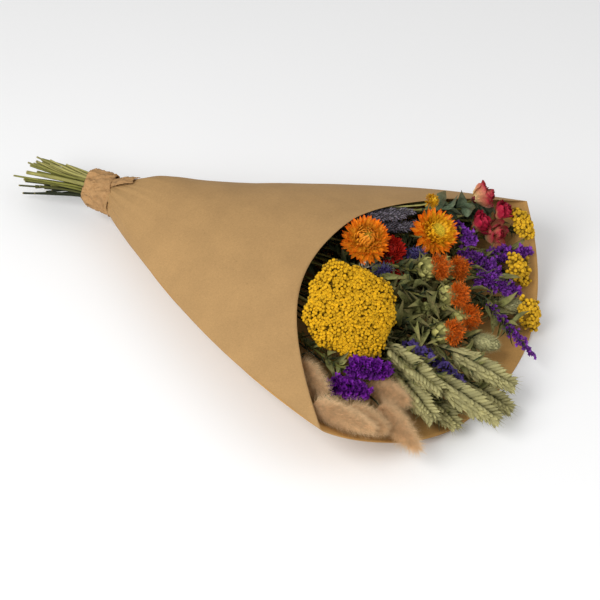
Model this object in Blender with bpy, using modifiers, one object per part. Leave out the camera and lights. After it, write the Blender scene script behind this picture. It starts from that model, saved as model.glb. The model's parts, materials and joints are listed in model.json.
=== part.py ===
"""Mixed bouquet of dried flowers in a kraft paper sleeve, lying on a table.

The bouquet lies along +X: the cut stems point to -X, the open mouth of the sleeve to +X.
The origin is on the table under the middle of the whole bouquet.  The dimensions below
count X from the tie that holds the stems, and the finished pieces are moved over at the end.
Metres, +Z up.  Every cut stem is one solid with its head, because it grew as one piece.
"""
import math

import bmesh
import bpy
import numpy as np

# ---- driving dimensions: kraft sleeve -------------------------------------------------
NECK_HEIGHT = 0.036          # height of the tie's centre over the table
NECK_RADIUS = 0.0155         # outside of the sleeve at the tie
NECK_START = -0.012          # lower end of the sleeve, by the cut stems
FLARE_START = 0.014          # where the round neck starts to open
SCOOP_X = 0.2515             # middle of the scooped front edge
SCOOP_HEIGHT = 0.0893
CORNER_X = 0.3536            # the two corners, where front and back sheets meet
CORNER_HALF_WIDTH = 0.177
CORNER_HEIGHT = 0.0565
BACK_X = 0.4261              # middle of the rounded back edge
SCOOP_POWER = 2.87           # roundness of the front edge
BACK_POWER = 2.12            # roundness of the back edge
FLARE_BULGE = 0.47           # how far the sides bow outwards
REST_SINK = 0.006            # how much the table flattens the back sheet
LIFT_LENGTH = 0.10           # distance over which the neck comes down to the table
PAPER = 0.0006               # two plies of kraft paper
SLEEVE_COLUMNS = 44          # round the sleeve
SLEEVE_ROWS = 13             # along the sleeve

# ---- driving dimensions: neck band, tie and stems -------------------------------------
NECK_STRAIGHT = 0.016        # the stems run straight this far to both sides of the tie
BUNDLE_RADIUS = 0.0133       # of the stems together, inside the tie
BAND_START = -0.014
BAND_END = 0.0135
BAND_THICKNESS = 0.0012      # several turns of crumpled paper
GAP = 0.0003                 # clearance between neighbouring solids
STEM_STEP = 0.045            # distance between a stem's points
STALK = 0.010                # straight stalk under a head
STEM_SPREAD = 0.055          # how fast the cut ends fan out behind the tie
STEM_SWAY = -0.14            # how far they turn to -Y, for each unit of length
STEM_DROOP = 0.10            # how far they hang down, for each unit of length
LOW_STEM_DROOP = 0.22        # the same for the lowest stems of the bunch
TABLE_CLEARANCE = 0.0005     # under the lowest cut end
PAPER_CLEARANCE = 0.0019     # from the nominal sleeve surface to anything inside it

RIM_LINKS = 30               # thick links that stand for each edge of the paper
RIM_RADIUS = 0.0012

# Cut lengths behind the tie, taken in turn along the list of flowers.
CUT_LENGTHS = (0.078, 0.060, 0.082, 0.052, 0.070, 0.086, 0.064, 0.047, 0.080, 0.056, 0.073)
SHORT_CUTS = {"safflower_4": 0.026, "wheat_6": 0.031, "rose_3": 0.028}

# Head outlines: (share of the head's length, share of its radius), from stem to tip.
DOME = ((0.0, 0.05), (0.30, 0.42), (0.62, 0.97), (0.80, 0.96), (0.95, 0.60), (1.0, 0.12))
DISC = ((0.0, 0.10), (0.30, 0.62), (0.58, 1.0), (0.80, 0.88), (1.0, 0.30))
BUD = ((0.0, 0.16), (0.18, 0.78), (0.45, 1.0), (0.75, 0.86), (1.0, 0.35))
SPIKE = ((0.0, 0.25), (0.10, 0.80), (0.45, 1.0), (0.80, 0.80), (1.0, 0.25))

# kind: (outline, head length, head radius, stem radius, bevel resolution, colour)
KINDS = {
    "yarrow": (DOME, 0.034, 0.0425, 0.0019, 6, (0.75, 0.50, 0.06)),
    "strawflower": (DISC, 0.018, 0.0205, 0.0013, 3, (0.90, 0.33, 0.04)),
    "strawflower_red": (DISC, 0.014, 0.0135, 0.0012, 3, (0.50, 0.03, 0.02)),
    "strawflower_bud": (BUD, 0.012, 0.0065, 0.0009, 1, (0.60, 0.04, 0.02)),
    "button": (BUD, 0.012, 0.0068, 0.0009, 1, (0.85, 0.60, 0.03)),
    "white_bud": (BUD, 0.009, 0.0042, 0.0008, 1, (0.75, 0.68, 0.52)),
    "lavender": (SPIKE, 0.046, 0.0055, 0.0009, 1, (0.24, 0.23, 0.34)),
    "blue": (SPIKE, 0.024, 0.0075, 0.0011, 1, (0.12, 0.14, 0.42)),
    "rose": (BUD, 0.023, 0.0098, 0.0015, 2, (0.62, 0.16, 0.14)),
    "rose_small": (BUD, 0.020, 0.0079, 0.0013, 2, (0.55, 0.06, 0.10)),
    "leaves": (SPIKE, 0.044, 0.0088, 0.0011, 1, (0.16, 0.22, 0.09)),
    "leaf_small": (SPIKE, 0.034, 0.0066, 0.0010, 1, (0.16, 0.22, 0.09)),
    "tansy": (DISC, 0.013, 0.0110, 0.0012, 2, (0.78, 0.52, 0.03)),
    "statice": (SPIKE, 0.042, 0.0080, 0.0012, 1, (0.22, 0.08, 0.46)),
    "statice_spike": (SPIKE, 0.076, 0.0045, 0.0012, 1, (0.22, 0.08, 0.46)),
    "magenta": (SPIKE, 0.035, 0.0090, 0.0012, 1, (0.30, 0.06, 0.46)),
    "safflower": (BUD, 0.027, 0.0098, 0.0014, 2, (0.72, 0.24, 0.04)),
    "safflower_leaves": (SPIKE, 0.050, 0.0125, 0.0013, 1, (0.30, 0.33, 0.13)),
    "phalaris": (BUD, 0.027, 0.0068, 0.0010, 1, (0.48, 0.45, 0.28)),
    "wheat": (SPIKE, 0.064, 0.0066, 0.0011, 1, (0.50, 0.46, 0.22)),
    "wheat_short": (SPIKE, 0.042, 0.0060, 0.0011, 1, (0.50, 0.46, 0.22)),
    "larkspur": (SPIKE, 0.034, 0.0070, 0.0011, 1, (0.10, 0.09, 0.32)),
    "bunny_tail": (SPIKE, 0.052, 0.0092, 0.0009, 2, (0.66, 0.50, 0.34)),
    "bunny_tail_short": (SPIKE, 0.036, 0.0092, 0.0009, 2, (0.66, 0.50, 0.34)),
}

# name: (kind, middle of the head, direction it points in)
FLOWERS = {
    "yarrow_large": ("yarrow", (0.309, -0.061, 0.060), (0.45, -0.35, 0.82)),
    "strawflower_orange_left": ("strawflower", (0.269, 0.026, 0.078), (0.40, -0.35, 0.85)),
    "strawflower_orange_right": ("strawflower", (0.311, 0.080, 0.068), (0.62, -0.15, 0.75)),
    "strawflower_yellow": ("button", (0.302, 0.099, 0.082), (0.75, 0.10, 0.60)),
    "strawflower_red_left": ("strawflower_red", (0.290, 0.043, 0.061), (0.45, -0.30, 0.80)),
    "strawflower_red_right": ("strawflower_bud", (0.303, 0.030, 0.051), (0.55, -0.30, 0.75)),
    "lavender_1": ("lavender", (0.264, 0.062, 0.080), (0.86, 0.42, 0.10)),
    "lavender_2": ("lavender", (0.266, 0.080, 0.073), (0.86, 0.42, 0.12)),
    "lavender_3": ("lavender", (0.278, 0.066, 0.070), (0.90, 0.40, 0.14)),
    "lavender_4": ("lavender", (0.284, 0.090, 0.066), (0.86, 0.45, 0.10)),
    "white_bud": ("white_bud", (0.278, 0.017, 0.062), (0.50, -0.40, 0.70)),
    "blue_thistle_left": ("blue", (0.290, 0.020, 0.054), (0.80, -0.10, 0.50)),
    "blue_thistle_right": ("blue", (0.306, 0.052, 0.054), (0.80, 0.00, 0.50)),
    "rose_1": ("rose", (0.332, 0.131, 0.074), (0.80, 0.36, 0.45)),
    "rose_2": ("rose_small", (0.338, 0.125, 0.067), (0.70, 0.30, 0.60)),
    "rose_3": ("rose_small", (0.348, 0.130, 0.069), (0.62, 0.30, 0.70)),
    "rose_4": ("rose", (0.346, 0.127, 0.055), (0.84, 0.00, 0.50)),
    "rose_leaves_left": ("leaves", (0.304, 0.114, 0.066), (0.84, 0.50, 0.05)),
    "rose_leaves_right": ("leaf_small", (0.316, 0.134, 0.060), (0.84, 0.45, 0.05)),
    "tansy_1": ("tansy", (0.364, 0.146, 0.054), (0.70, -0.10, 0.66)),
    "tansy_2": ("tansy", (0.380, 0.112, 0.032), (0.72, -0.25, 0.60)),
    "tansy_3": ("tansy", (0.402, 0.080, 0.026), (0.78, -0.25, 0.52)),
    "statice_violet_1": ("statice", (0.322, 0.106, 0.052), (0.92, -0.25, 0.05)),
    "statice_violet_2": ("statice", (0.352, 0.134, 0.046), (0.76, 0.64, 0.00)),
    "statice_violet_3": ("statice", (0.350, 0.094, 0.046), (0.98, 0.10, -0.15)),
    "statice_violet_4": ("statice", (0.374, 0.076, 0.032), (0.97, 0.15, -0.10)),
    "statice_violet_tip": ("statice_spike", (0.410, 0.041, 0.028), (0.88, -0.46, -0.08)),
    "safflower_1": ("safflower", (0.328, 0.053, 0.056), (0.86, 0.40, 0.20)),
    "safflower_2": ("safflower", (0.345, 0.067, 0.042), (0.86, 0.40, 0.20)),
    "safflower_3": ("safflower", (0.361, 0.027, 0.054), (0.86, 0.40, 0.20)),
    "safflower_4": ("safflower", (0.374, 0.026, 0.036), (0.86, 0.40, 0.10)),
    "safflower_5": ("safflower", (0.377, -0.010, 0.046), (0.86, 0.42, 0.15)),
    "safflower_leaves": ("safflower_leaves", (0.337, 0.002, 0.044), (0.84, 0.00, 0.40)),
    "phalaris_1": ("phalaris", (0.398, 0.011, 0.030), (0.95, 0.10, 0.15)),
    "phalaris_2": ("phalaris", (0.388, 0.078, 0.028), (0.85, 0.50, 0.10)),
    "wheat_1": ("wheat", (0.372, -0.062, 0.050), (0.96, -0.26, -0.08)),
    "wheat_2": ("wheat", (0.424, -0.060, 0.032), (0.98, -0.10, -0.14)),
    "wheat_3": ("wheat", (0.383, -0.078, 0.030), (0.88, -0.46, -0.05)),
    "wheat_4": ("wheat_short", (0.404, -0.068, 0.014), (0.92, -0.38, 0.00)),
    "wheat_5": ("wheat", (0.416, -0.019, 0.030), (0.98, -0.05, -0.08)),
    "wheat_6": ("wheat_short", (0.431, -0.030, 0.014), (0.97, -0.20, 0.00)),
    "larkspur_1": ("larkspur", (0.366, -0.039, 0.040), (0.88, -0.30, 0.20)),
    "larkspur_2": ("larkspur", (0.396, -0.043, 0.032), (0.90, -0.30, 0.00)),
    "statice_magenta_1": ("magenta", (0.343, -0.086, 0.050), (0.92, 0.30, 0.10)),
    "statice_magenta_2": ("magenta", (0.336, -0.108, 0.048), (0.96, 0.10, 0.10)),
    "bunny_tail_1": ("bunny_tail", (0.355, -0.144, 0.049), (0.97, 0.12, -0.10)),
    "bunny_tail_2": ("bunny_tail_short", (0.367, -0.140, 0.030), (0.96, -0.05, 0.00)),
    "bunny_tail_3": ("bunny_tail_short", (0.363, -0.099, 0.036), (0.95, -0.10, 0.00)),
    "bunny_tail_4": ("bunny_tail", (0.390, -0.110, 0.026), (0.90, -0.40, -0.08)),
    "bunny_tail_5": ("bunny_tail_short", (0.311, -0.119, 0.048), (0.90, -0.35, -0.05)),
}


# ---- the sleeve's surface -------------------------------------------------------------
def side_half_width(x):
    """Half the width of the sleeve at its folded sides."""
    share = np.clip((x - FLARE_START) / (CORNER_X - FLARE_START), 0.0, 1.4)
    opened = share * (1.0 + FLARE_BULGE * (1.0 - share))
    return NECK_RADIUS + (CORNER_HALF_WIDTH - NECK_RADIUS) * opened


def side_height(x):
    """Height of the folded sides over the table."""
    share = np.clip((x - FLARE_START) / (CORNER_X - FLARE_START), 0.0, 1.4)
    return NECK_HEIGHT + (CORNER_HEIGHT - NECK_HEIGHT) * share


def crown_height(x):
    """Height of the front sheet along its middle."""
    share = np.clip((x - FLARE_START) / (SCOOP_X - FLARE_START), 0.0, 1.6)
    neck_top = NECK_HEIGHT + NECK_RADIUS
    return neck_top + (SCOOP_HEIGHT - neck_top) * share ** 0.6


def belly_height(x):
    """Height of the back sheet along its middle, before the table flattens it."""
    share = np.clip((x - FLARE_START) / LIFT_LENGTH, 0.0, 1.0)
    return (NECK_HEIGHT - NECK_RADIUS + REST_SINK) * (1.0 - share) ** 2 - REST_SINK


def roundness(x):
    """Power of the cross-section: 1 is the round neck, 2 the lens shape of the open sleeve."""
    return 1.0 + np.clip((x - FLARE_START) / LIFT_LENGTH, 0.0, 1.0)


def front_sheet(x, across):
    """Height of the front sheet, with across from -1 to 1 between the folded sides."""
    sine = np.sqrt(np.clip(1.0 - across ** 2, 0.0, 1.0))
    return side_height(x) + (crown_height(x) - side_height(x)) * sine ** roundness(x)


def back_sheet(x, across):
    """Height of the back sheet, pressed flat where it lies on the table."""
    sine = np.sqrt(np.clip(1.0 - across ** 2, 0.0, 1.0))
    power = 1.0 + 0.8 * (roundness(x) - 1.0)
    return np.maximum(0.0, side_height(x) - (side_height(x) - belly_height(x)) * sine ** power)


def steepness(sheet, x, across):
    """How much longer an upright gap must be than a square one, where the sheet slopes."""
    step = 0.02
    inner = across - np.sign(across) * step
    slope = (sheet(x, across) - sheet(x, inner)) / (step * side_half_width(x))
    return np.sqrt(1.0 + np.minimum(np.abs(slope), 3.0) ** 2)


def front_edge(across):
    """Where the front sheet ends: the scoop."""
    return SCOOP_X + (CORNER_X - SCOOP_X) * np.abs(across) ** SCOOP_POWER


def back_edge(across):
    """Where the back sheet ends: the rounded tongue."""
    return BACK_X - (BACK_X - CORNER_X) * np.abs(across) ** BACK_POWER


# ---- stems and heads ------------------------------------------------------------------
def unit(vector):
    vector = np.array(vector, float)
    return vector / np.linalg.norm(vector)


def pile_depth(centre):
    """0 for a head at the far end of the mouth, which lies lowest, to 1 for the nearest."""
    return float(np.clip((0.44 - centre[0]) / (0.44 - 0.26), 0.0, 1.0))


def first_route(index, name, kind, centre, direction):
    """A stem's points from its cut end through the tie to its head, before they settle."""
    outline, head_length, head_radius, stem_radius, _, _ = KINDS[kind]
    aim = unit(direction)
    base = np.array(centre) - aim * head_length * 0.5
    neck = base - aim * STALK
    depth = pile_depth(centre)
    waist = np.array([0.0, centre[1] / centre[0] * 0.020, NECK_HEIGHT + (depth - 0.5) * 0.016])
    cut_length = SHORT_CUTS.get(name, CUT_LENGTHS[index % len(CUT_LENGTHS)])
    points = []
    stations = [-cut_length, -NECK_STRAIGHT, NECK_STRAIGHT]
    if cut_length > 3.0 * NECK_STRAIGHT:
        stations.insert(1, -(cut_length + NECK_STRAIGHT) * 0.5)
    droop = LOW_STEM_DROOP if depth < 0.3 else STEM_DROOP
    for x in stations:
        behind = max(0.0, -x - NECK_STRAIGHT)
        fan = 1.0 + behind / STEM_SPREAD
        y = waist[1] * fan + STEM_SWAY * behind
        z = NECK_HEIGHT + (waist[2] - NECK_HEIGHT) * fan - droop * behind
        points.append((x, y, max(z, stem_radius + TABLE_CLEARANCE)))
    steps = max(3, round((neck[0] - NECK_STRAIGHT) / STEM_STEP))
    low_run = 0.010 + 0.050 * depth
    for step in range(1, steps):
        share = step / steps
        x = NECK_STRAIGHT + (neck[0] - NECK_STRAIGHT) * share
        straight = waist + (neck - waist) * share
        sag = math.sin(math.pi * share) ** 0.7
        z = straight[2] + (low_run - straight[2]) * sag
        points.append((x, straight[1], z))
    stem_count = len(points)
    points.append(tuple(neck))
    radii = [stem_radius] * (stem_count + 1)
    for share, girth in outline:
        points.append(tuple(base + aim * head_length * share))
        radii.append(max(stem_radius, head_radius * girth))
    return np.array(points), np.array(radii), stem_count


class Bundle:
    """All the stems as chains of thick links, pushed apart until none touches another."""

    def __init__(self):
        self.routes = {}
        points, owners, is_head = [], [], []
        links = []
        for index, (name, (kind, centre, direction)) in enumerate(FLOWERS.items()):
            route, radii, stem_count = first_route(index, name, kind, centre, direction)
            start = len(points)
            points.extend(route)
            owners.extend([index] * len(route))
            is_head.extend([k >= stem_count for k in range(len(route))])
            self.routes[name] = (start, start + len(route), radii)
            links.extend(self.link_shapes(index, start, route, radii, stem_count, kind, direction))
        flower_points = len(points)
        for rim, (edge, sheet) in enumerate(((front_edge, front_sheet), (back_edge, back_sheet))):
            owner = len(FLOWERS) + rim
            across = np.linspace(-1.0, 1.0, RIM_LINKS + 1)
            x = edge(across)
            start = len(points)
            points.extend(np.stack([x, across * side_half_width(x), sheet(x, across)], axis=1))
            owners.extend([owner] * len(x))
            is_head.extend([False] * len(x))
            for k in range(start, start + RIM_LINKS):
                links.append((owner, k, k + 1, np.zeros(3), np.zeros(3), RIM_RADIUS))
        self.points = np.array(points)
        self.first = self.points.copy()
        self.owners = np.array(owners)
        self.is_head = np.array(is_head)
        self.is_stem = ~self.is_head & (np.arange(len(points)) < flower_points)
        self.link_owner = np.array([link[0] for link in links])
        self.link_from = np.array([link[1] for link in links])
        self.link_to = np.array([link[2] for link in links])
        self.offset_from = np.array([link[3] for link in links])
        self.offset_to = np.array([link[4] for link in links])
        self.link_radius = np.array([link[5] for link in links])

    @staticmethod
    def link_shapes(index, start, route, radii, stem_count, kind, direction):
        """Thick links along the stem, and spokes across a head that is wider than long."""
        _, head_length, head_radius, _, _, _ = KINDS[kind]
        zero = np.zeros(3)
        flat = head_radius > head_length * 0.5
        links = []
        last = stem_count + 1 if flat else len(route) - 1
        for k in range(start, start + last):
            radius = max(radii[k - start], radii[k - start + 1]) if k - start > stem_count else radii[0]
            links.append((index, k, k + 1, zero, zero, radius))
        if flat:
            aim = unit(direction)
            side = unit(np.cross(aim, (0.0, 0.0, 1.0)))
            over = np.cross(aim, side)
            hub = start + stem_count + 3
            thick = head_length * 0.36
            spokes = max(6, round(2.0 * math.pi * head_radius / (thick * 1.7)))
            for spoke in range(spokes):
                angle = 2.0 * math.pi * spoke / spokes
                reach = (side * math.cos(angle) + over * math.sin(angle)) * (head_radius - thick)
                links.append((index, hub, hub, zero, reach, thick))
        return links

    def link_ends(self):
        return (self.points[self.link_from] + self.offset_from,
                self.points[self.link_to] + self.offset_to)

    def near_pairs(self, reach):
        """Links of different stems whose middles are near enough to meet."""
        start, end = self.link_ends()
        middle = (start + end) * 0.5
        span = np.linalg.norm(end - start, axis=1) * 0.5 + self.link_radius + reach
        one, two = np.triu_indices(len(middle), 1)
        apart = np.linalg.norm(middle[one] - middle[two], axis=1)
        keep = (self.link_owner[one] != self.link_owner[two]) & (apart < span[one] + span[two])
        return one[keep], two[keep]

    def push_apart(self, pairs, clearance):
        """One round of moves; gives the deepest overlap found."""
        one, two = pairs
        start, end = self.link_ends()
        along_one, along_two, between = closest_on_links(start[one], end[one], start[two], end[two])
        distance = np.linalg.norm(between, axis=1)
        wanted = self.link_radius[one] + self.link_radius[two] + clearance
        hit = distance < wanted
        if not hit.any():
            return 0.0
        one, two = one[hit], two[hit]
        depth = wanted[hit] - distance[hit]
        normal = between[hit] / np.maximum(distance[hit], 1e-9)[:, None]
        move = np.zeros_like(self.points)
        weight = np.zeros(len(self.points))
        for side, link, along in ((1.0, one, along_one[hit]), (-1.0, two, along_two[hit])):
            for ends, share in ((self.link_from, 1.0 - along), (self.link_to, along)):
                np.add.at(move, ends[link], normal * (side * depth * share * 0.5)[:, None])
                np.add.at(weight, ends[link], share)
        self.apply(move / np.maximum(weight, 1.0)[:, None] * 1.5, weight)
        return float(depth.max())

    def apply(self, move, weight):
        """Heads move as one piece; a stem's points only sideways and up or down."""
        for start, end, _ in self.routes.values():
            head = np.arange(start, end)[self.is_head[start:end]]
            pushed = weight[head] > 0.0
            shift = move[head][pushed].mean(axis=0) if pushed.any() else 0.0
            self.points[head] += shift
        self.points[self.is_stem, 1:] += move[self.is_stem, 1:]

    def stay_inside(self):
        """Keep everything inside the paper, and over the table beyond it."""
        for points, offset, index in ((self.link_from, self.offset_from, 0),
                                      (self.link_to, self.offset_to, 1)):
            place = self.points[points] + offset
            radius = self.link_radius + PAPER_CLEARANCE
            x = place[:, 0]
            width = side_half_width(x)
            across = np.clip(place[:, 1] / width, -1.0, 1.0)
            move = np.zeros_like(self.points)
            weight = np.zeros(len(self.points))
            push = np.zeros_like(place)
            wrapped = (x > NECK_START) & (x < back_edge(across))
            steep = steepness(back_sheet, x, across)
            floor = np.where(wrapped, back_sheet(x, across) + radius * steep, self.link_radius + GAP)
            push[:, 2] += np.maximum(0.0, floor - place[:, 2])
            covered = (x > NECK_START) & (x < front_edge(across))
            steep = steepness(front_sheet, x, across)
            roof = np.where(covered, front_sheet(x, across) - radius * steep, 1.0)
            push[:, 2] -= np.maximum(0.0, place[:, 2] - roof)
            tight = covered & (roof < floor)
            push[tight, 1] -= np.sign(place[tight, 1]) * 0.002
            paper = self.link_owner >= len(FLOWERS)
            push[paper] = 0.0
            in_neck = np.abs(x) < NECK_STRAIGHT + GAP
            push[in_neck] = self.into_neck(place[in_neck], self.link_radius[in_neck])
            moved = np.abs(push).sum(axis=1) > 0.0
            np.add.at(move, points[moved], push[moved])
            np.add.at(weight, points[moved], 1.0)
            self.apply(move / np.maximum(weight, 1.0)[:, None], weight)

    @staticmethod
    def into_neck(place, radius):
        """The move that brings points in the neck inside the ring of the tie."""
        outward = place - np.array([0.0, 0.0, NECK_HEIGHT])
        outward[:, 0] = 0.0
        distance = np.maximum(np.linalg.norm(outward, axis=1), 1e-9)
        excess = np.maximum(0.0, distance - (BUNDLE_RADIUS - radius))
        return -outward * (excess / distance)[:, None]

    def relax(self, pull):
        """Ease bends out of the stems, gather them at the tie, draw heads to their places."""
        interior = np.arange(1, len(self.points) - 1)
        same = (self.owners[interior - 1] == self.owners[interior]) & (
            self.owners[interior + 1] == self.owners[interior]) & self.is_stem[interior]
        inner = interior[same]
        middle = (self.points[inner - 1] + self.points[inner + 1]) * 0.5
        self.points[inner, 1:] += (middle - self.points[inner])[:, 1:] * 0.12 * pull
        waist = np.abs(np.abs(self.first[:, 0]) - NECK_STRAIGHT) < 1e-9
        centre = np.array([0.0, NECK_HEIGHT])
        self.points[waist, 1:] += (centre - self.points[waist, 1:]) * 0.15 * pull
        self.points[self.is_head] += (self.first - self.points)[self.is_head] * 0.03 * pull

    def settle(self, rounds=420, quiet_rounds=160):
        for turn in range(rounds + quiet_rounds):
            if turn % 8 == 0:
                pairs = self.near_pairs(0.006)
            pull = max(0.0, 1.0 - turn / rounds)
            if pull > 0.0:
                self.relax(pull)
            self.push_apart(pairs, GAP * 1.6)
            self.stay_inside()


def closest_on_links(a, b, c, d):
    """Shares along the segments ab and cd of their nearest points, and the vector between."""
    u, v, w = b - a, d - c, a - c
    uu = np.maximum((u * u).sum(1), 1e-12)
    vv = np.maximum((v * v).sum(1), 1e-12)
    uv, uw, vw = (u * v).sum(1), (u * w).sum(1), (v * w).sum(1)
    bottom = np.maximum(uu * vv - uv * uv, 1e-12)
    s = np.clip((uv * vw - vv * uw) / bottom, 0.0, 1.0)
    t = np.clip((uv * s + vw) / vv, 0.0, 1.0)
    s = np.clip((uv * t - uw) / uu, 0.0, 1.0)
    return s, t, (a + u * s[:, None]) - (c + v * t[:, None])


# ---- Blender objects ------------------------------------------------------------------
def clear_scene():
    for item in list(bpy.data.objects):
        bpy.data.objects.remove(item, do_unlink=True)


def new_material(name, colour, roughness):
    material = bpy.data.materials.new(name)
    material.use_nodes = True
    shader = material.node_tree.nodes["Principled BSDF"]
    shader.inputs["Base Color"].default_value = (*colour, 1.0)
    shader.inputs["Roughness"].default_value = roughness
    shader.inputs["Metallic"].default_value = 0.0
    return material


def add_stem(collection, name, points, radii, kind):
    """One cut stem with its head, as a curve whose thickness swells into the head."""
    curve = bpy.data.curves.new(name, "CURVE")
    curve.dimensions = "3D"
    curve.bevel_depth = 1.0
    curve.bevel_resolution = KINDS[kind][4]
    curve.use_fill_caps = True
    spline = curve.splines.new("POLY")
    spline.points.add(len(points) - 1)
    for target, place, radius in zip(spline.points, points, radii):
        target.co = (*place, 1.0)
        target.radius = radius
    piece = bpy.data.objects.new(name, curve)
    collection.objects.link(piece)
    curve.materials.append(new_material(name, KINDS[kind][5], 0.8))
    return piece


def add_mesh(collection, name, rings, material, thickness, offset):
    """A tube through rings of points, open at both ends, given a wall with Solidify."""
    shape = bmesh.new()
    rows = [[shape.verts.new(point) for point in ring] for ring in rings]
    for near, far in zip(rows, rows[1:]):
        for k in range(len(near)):
            nxt = (k + 1) % len(near)
            shape.faces.new((near[k], far[k], far[nxt], near[nxt]))
    bmesh.ops.recalc_face_normals(shape, faces=shape.faces)
    mesh = bpy.data.meshes.new(name)
    shape.to_mesh(mesh)
    shape.free()
    mesh.shade_smooth()
    mesh.materials.append(material)
    piece = bpy.data.objects.new(name, mesh)
    collection.objects.link(piece)
    wall = piece.modifiers.new("paper", "SOLIDIFY")
    wall.thickness = thickness
    wall.offset = offset
    return piece


def sleeve_rings():
    """Rings from the tie end to the edge of the mouth; each column ends at its own edge."""
    angles = [2.0 * math.pi * k / SLEEVE_COLUMNS for k in range(SLEEVE_COLUMNS)]
    rings = []
    neck_rows = [NECK_START, 0.0, FLARE_START]
    for row in range(SLEEVE_ROWS + len(neck_rows)):
        ring = []
        for angle in angles:
            across = math.cos(angle)
            front = math.sin(angle) >= 0.0
            edge = front_edge(across) if front else back_edge(across)
            if row < len(neck_rows):
                x = neck_rows[row]
            else:
                share = (row - len(neck_rows) + 1) / SLEEVE_ROWS
                x = FLARE_START + (edge - FLARE_START) * share ** 1.25
            height = front_sheet(x, across) if front else back_sheet(x, across)
            ring.append((x, across * side_half_width(x), float(height)))
        rings.append(ring)
    return rings


def band_rings(inner_radius):
    """The crumpled strip of paper wound round the neck: a slightly uneven cone."""
    rings = []
    rows = 5
    for row in range(rows):
        share = row / (rows - 1)
        x = BAND_START + (BAND_END - BAND_START) * share
        ring = []
        for k in range(24):
            angle = 2.0 * math.pi * k / 24
            crumple = 0.0005 * (1.0 + math.sin(5.0 * angle + 4.0 * share))
            radius = inner_radius + crumple + 0.0016 * share
            ring.append((x, radius * math.cos(angle), NECK_HEIGHT + radius * math.sin(angle)))
        rings.append(ring)
    return rings


def add_tie(collection, bundle_radius, paper_radius):
    """The band that holds the stems, hidden in the neck between stems and paper."""
    thickness = (paper_radius - bundle_radius - 2.0 * GAP) * 0.5
    curve = bpy.data.curves.new("stem_tie", "CURVE")
    curve.dimensions = "3D"
    curve.bevel_depth = thickness
    curve.bevel_resolution = 1
    spline = curve.splines.new("POLY")
    count = 24
    middle = bundle_radius + GAP + thickness
    spline.points.add(count - 1)
    spline.use_cyclic_u = True
    for k, target in enumerate(spline.points):
        angle = 2.0 * math.pi * k / count
        target.co = (0.0, middle * math.cos(angle), NECK_HEIGHT + middle * math.sin(angle), 1.0)
    piece = bpy.data.objects.new("stem_tie", curve)
    collection.objects.link(piece)
    curve.materials.append(new_material("stem_tie", (0.45, 0.33, 0.18), 0.9))


def centre_over_origin(collection):
    """Move the pieces along X until the middle of the whole bouquet is over the origin."""
    graph = bpy.context.evaluated_depsgraph_get()
    reach = []
    for piece in collection.objects:
        mesh = piece.evaluated_get(graph).to_mesh()
        reach.extend(vertex.co.x for vertex in mesh.vertices)
        piece.evaluated_get(graph).to_mesh_clear()
    for piece in collection.objects:
        piece.location.x = -(min(reach) + max(reach)) * 0.5


def main():
    clear_scene()
    collection = bpy.data.collections.new("dried_flower_bouquet")
    bpy.context.scene.collection.children.link(collection)
    kraft = new_material("kraft_wrapper", (0.50, 0.32, 0.16), 0.85)
    add_mesh(collection, "kraft_wrapper", sleeve_rings(), kraft, PAPER, -1.0)
    strip = new_material("neck_paper_band", (0.53, 0.33, 0.19), 0.85)
    add_mesh(collection, "neck_paper_band", band_rings(NECK_RADIUS + GAP), strip, BAND_THICKNESS, 1.0)
    bundle = Bundle()
    bundle.settle()
    reach = 0.0
    for name, (start, end, radii) in bundle.routes.items():
        points = bundle.points[start:end]
        add_stem(collection, name, points, radii, FLOWERS[name][0])
        ends = [points[k] for k in range(len(points)) if abs(abs(points[k][0]) - NECK_STRAIGHT) < 1e-9]
        middle = (ends[0] + ends[1]) * 0.5
        reach = max(reach, math.hypot(middle[1], middle[2] - NECK_HEIGHT) + radii[0])
    add_tie(collection, reach, NECK_RADIUS - PAPER)
    centre_over_origin(collection)


main()
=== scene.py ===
"""Dried flower bouquet in a kraft paper sleeve: the looks of every piece, built round the frame.

Each flower follows its own stem in the frame: the rings of that node's mesh give the stem's
route, where its head starts and ends, and how wide it is.  Metres, +Z up, mouth at +X.
"""

import json
import math
from functools import lru_cache

import bmesh
import bpy
import numpy as np
from mathutils import Euler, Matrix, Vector
from mathutils.bvhtree import BVHTree
from mathutils.kdtree import KDTree

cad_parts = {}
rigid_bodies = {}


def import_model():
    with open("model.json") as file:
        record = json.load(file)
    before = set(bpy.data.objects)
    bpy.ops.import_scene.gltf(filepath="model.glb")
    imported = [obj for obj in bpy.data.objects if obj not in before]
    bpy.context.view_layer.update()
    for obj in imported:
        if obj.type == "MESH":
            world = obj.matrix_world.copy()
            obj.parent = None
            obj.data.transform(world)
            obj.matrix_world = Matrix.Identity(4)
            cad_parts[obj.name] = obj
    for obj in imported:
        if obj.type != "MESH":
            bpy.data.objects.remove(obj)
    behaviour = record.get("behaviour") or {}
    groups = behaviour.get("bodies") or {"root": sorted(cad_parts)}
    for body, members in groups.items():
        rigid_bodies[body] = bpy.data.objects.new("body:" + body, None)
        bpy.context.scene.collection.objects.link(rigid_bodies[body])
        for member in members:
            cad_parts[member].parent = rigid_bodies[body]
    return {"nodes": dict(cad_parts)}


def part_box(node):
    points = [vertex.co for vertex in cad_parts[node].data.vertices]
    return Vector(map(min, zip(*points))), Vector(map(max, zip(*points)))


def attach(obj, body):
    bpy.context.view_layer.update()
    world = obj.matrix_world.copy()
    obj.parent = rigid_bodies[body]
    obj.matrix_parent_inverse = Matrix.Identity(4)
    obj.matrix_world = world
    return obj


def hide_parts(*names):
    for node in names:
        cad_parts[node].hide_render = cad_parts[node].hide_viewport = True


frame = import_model()

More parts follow.
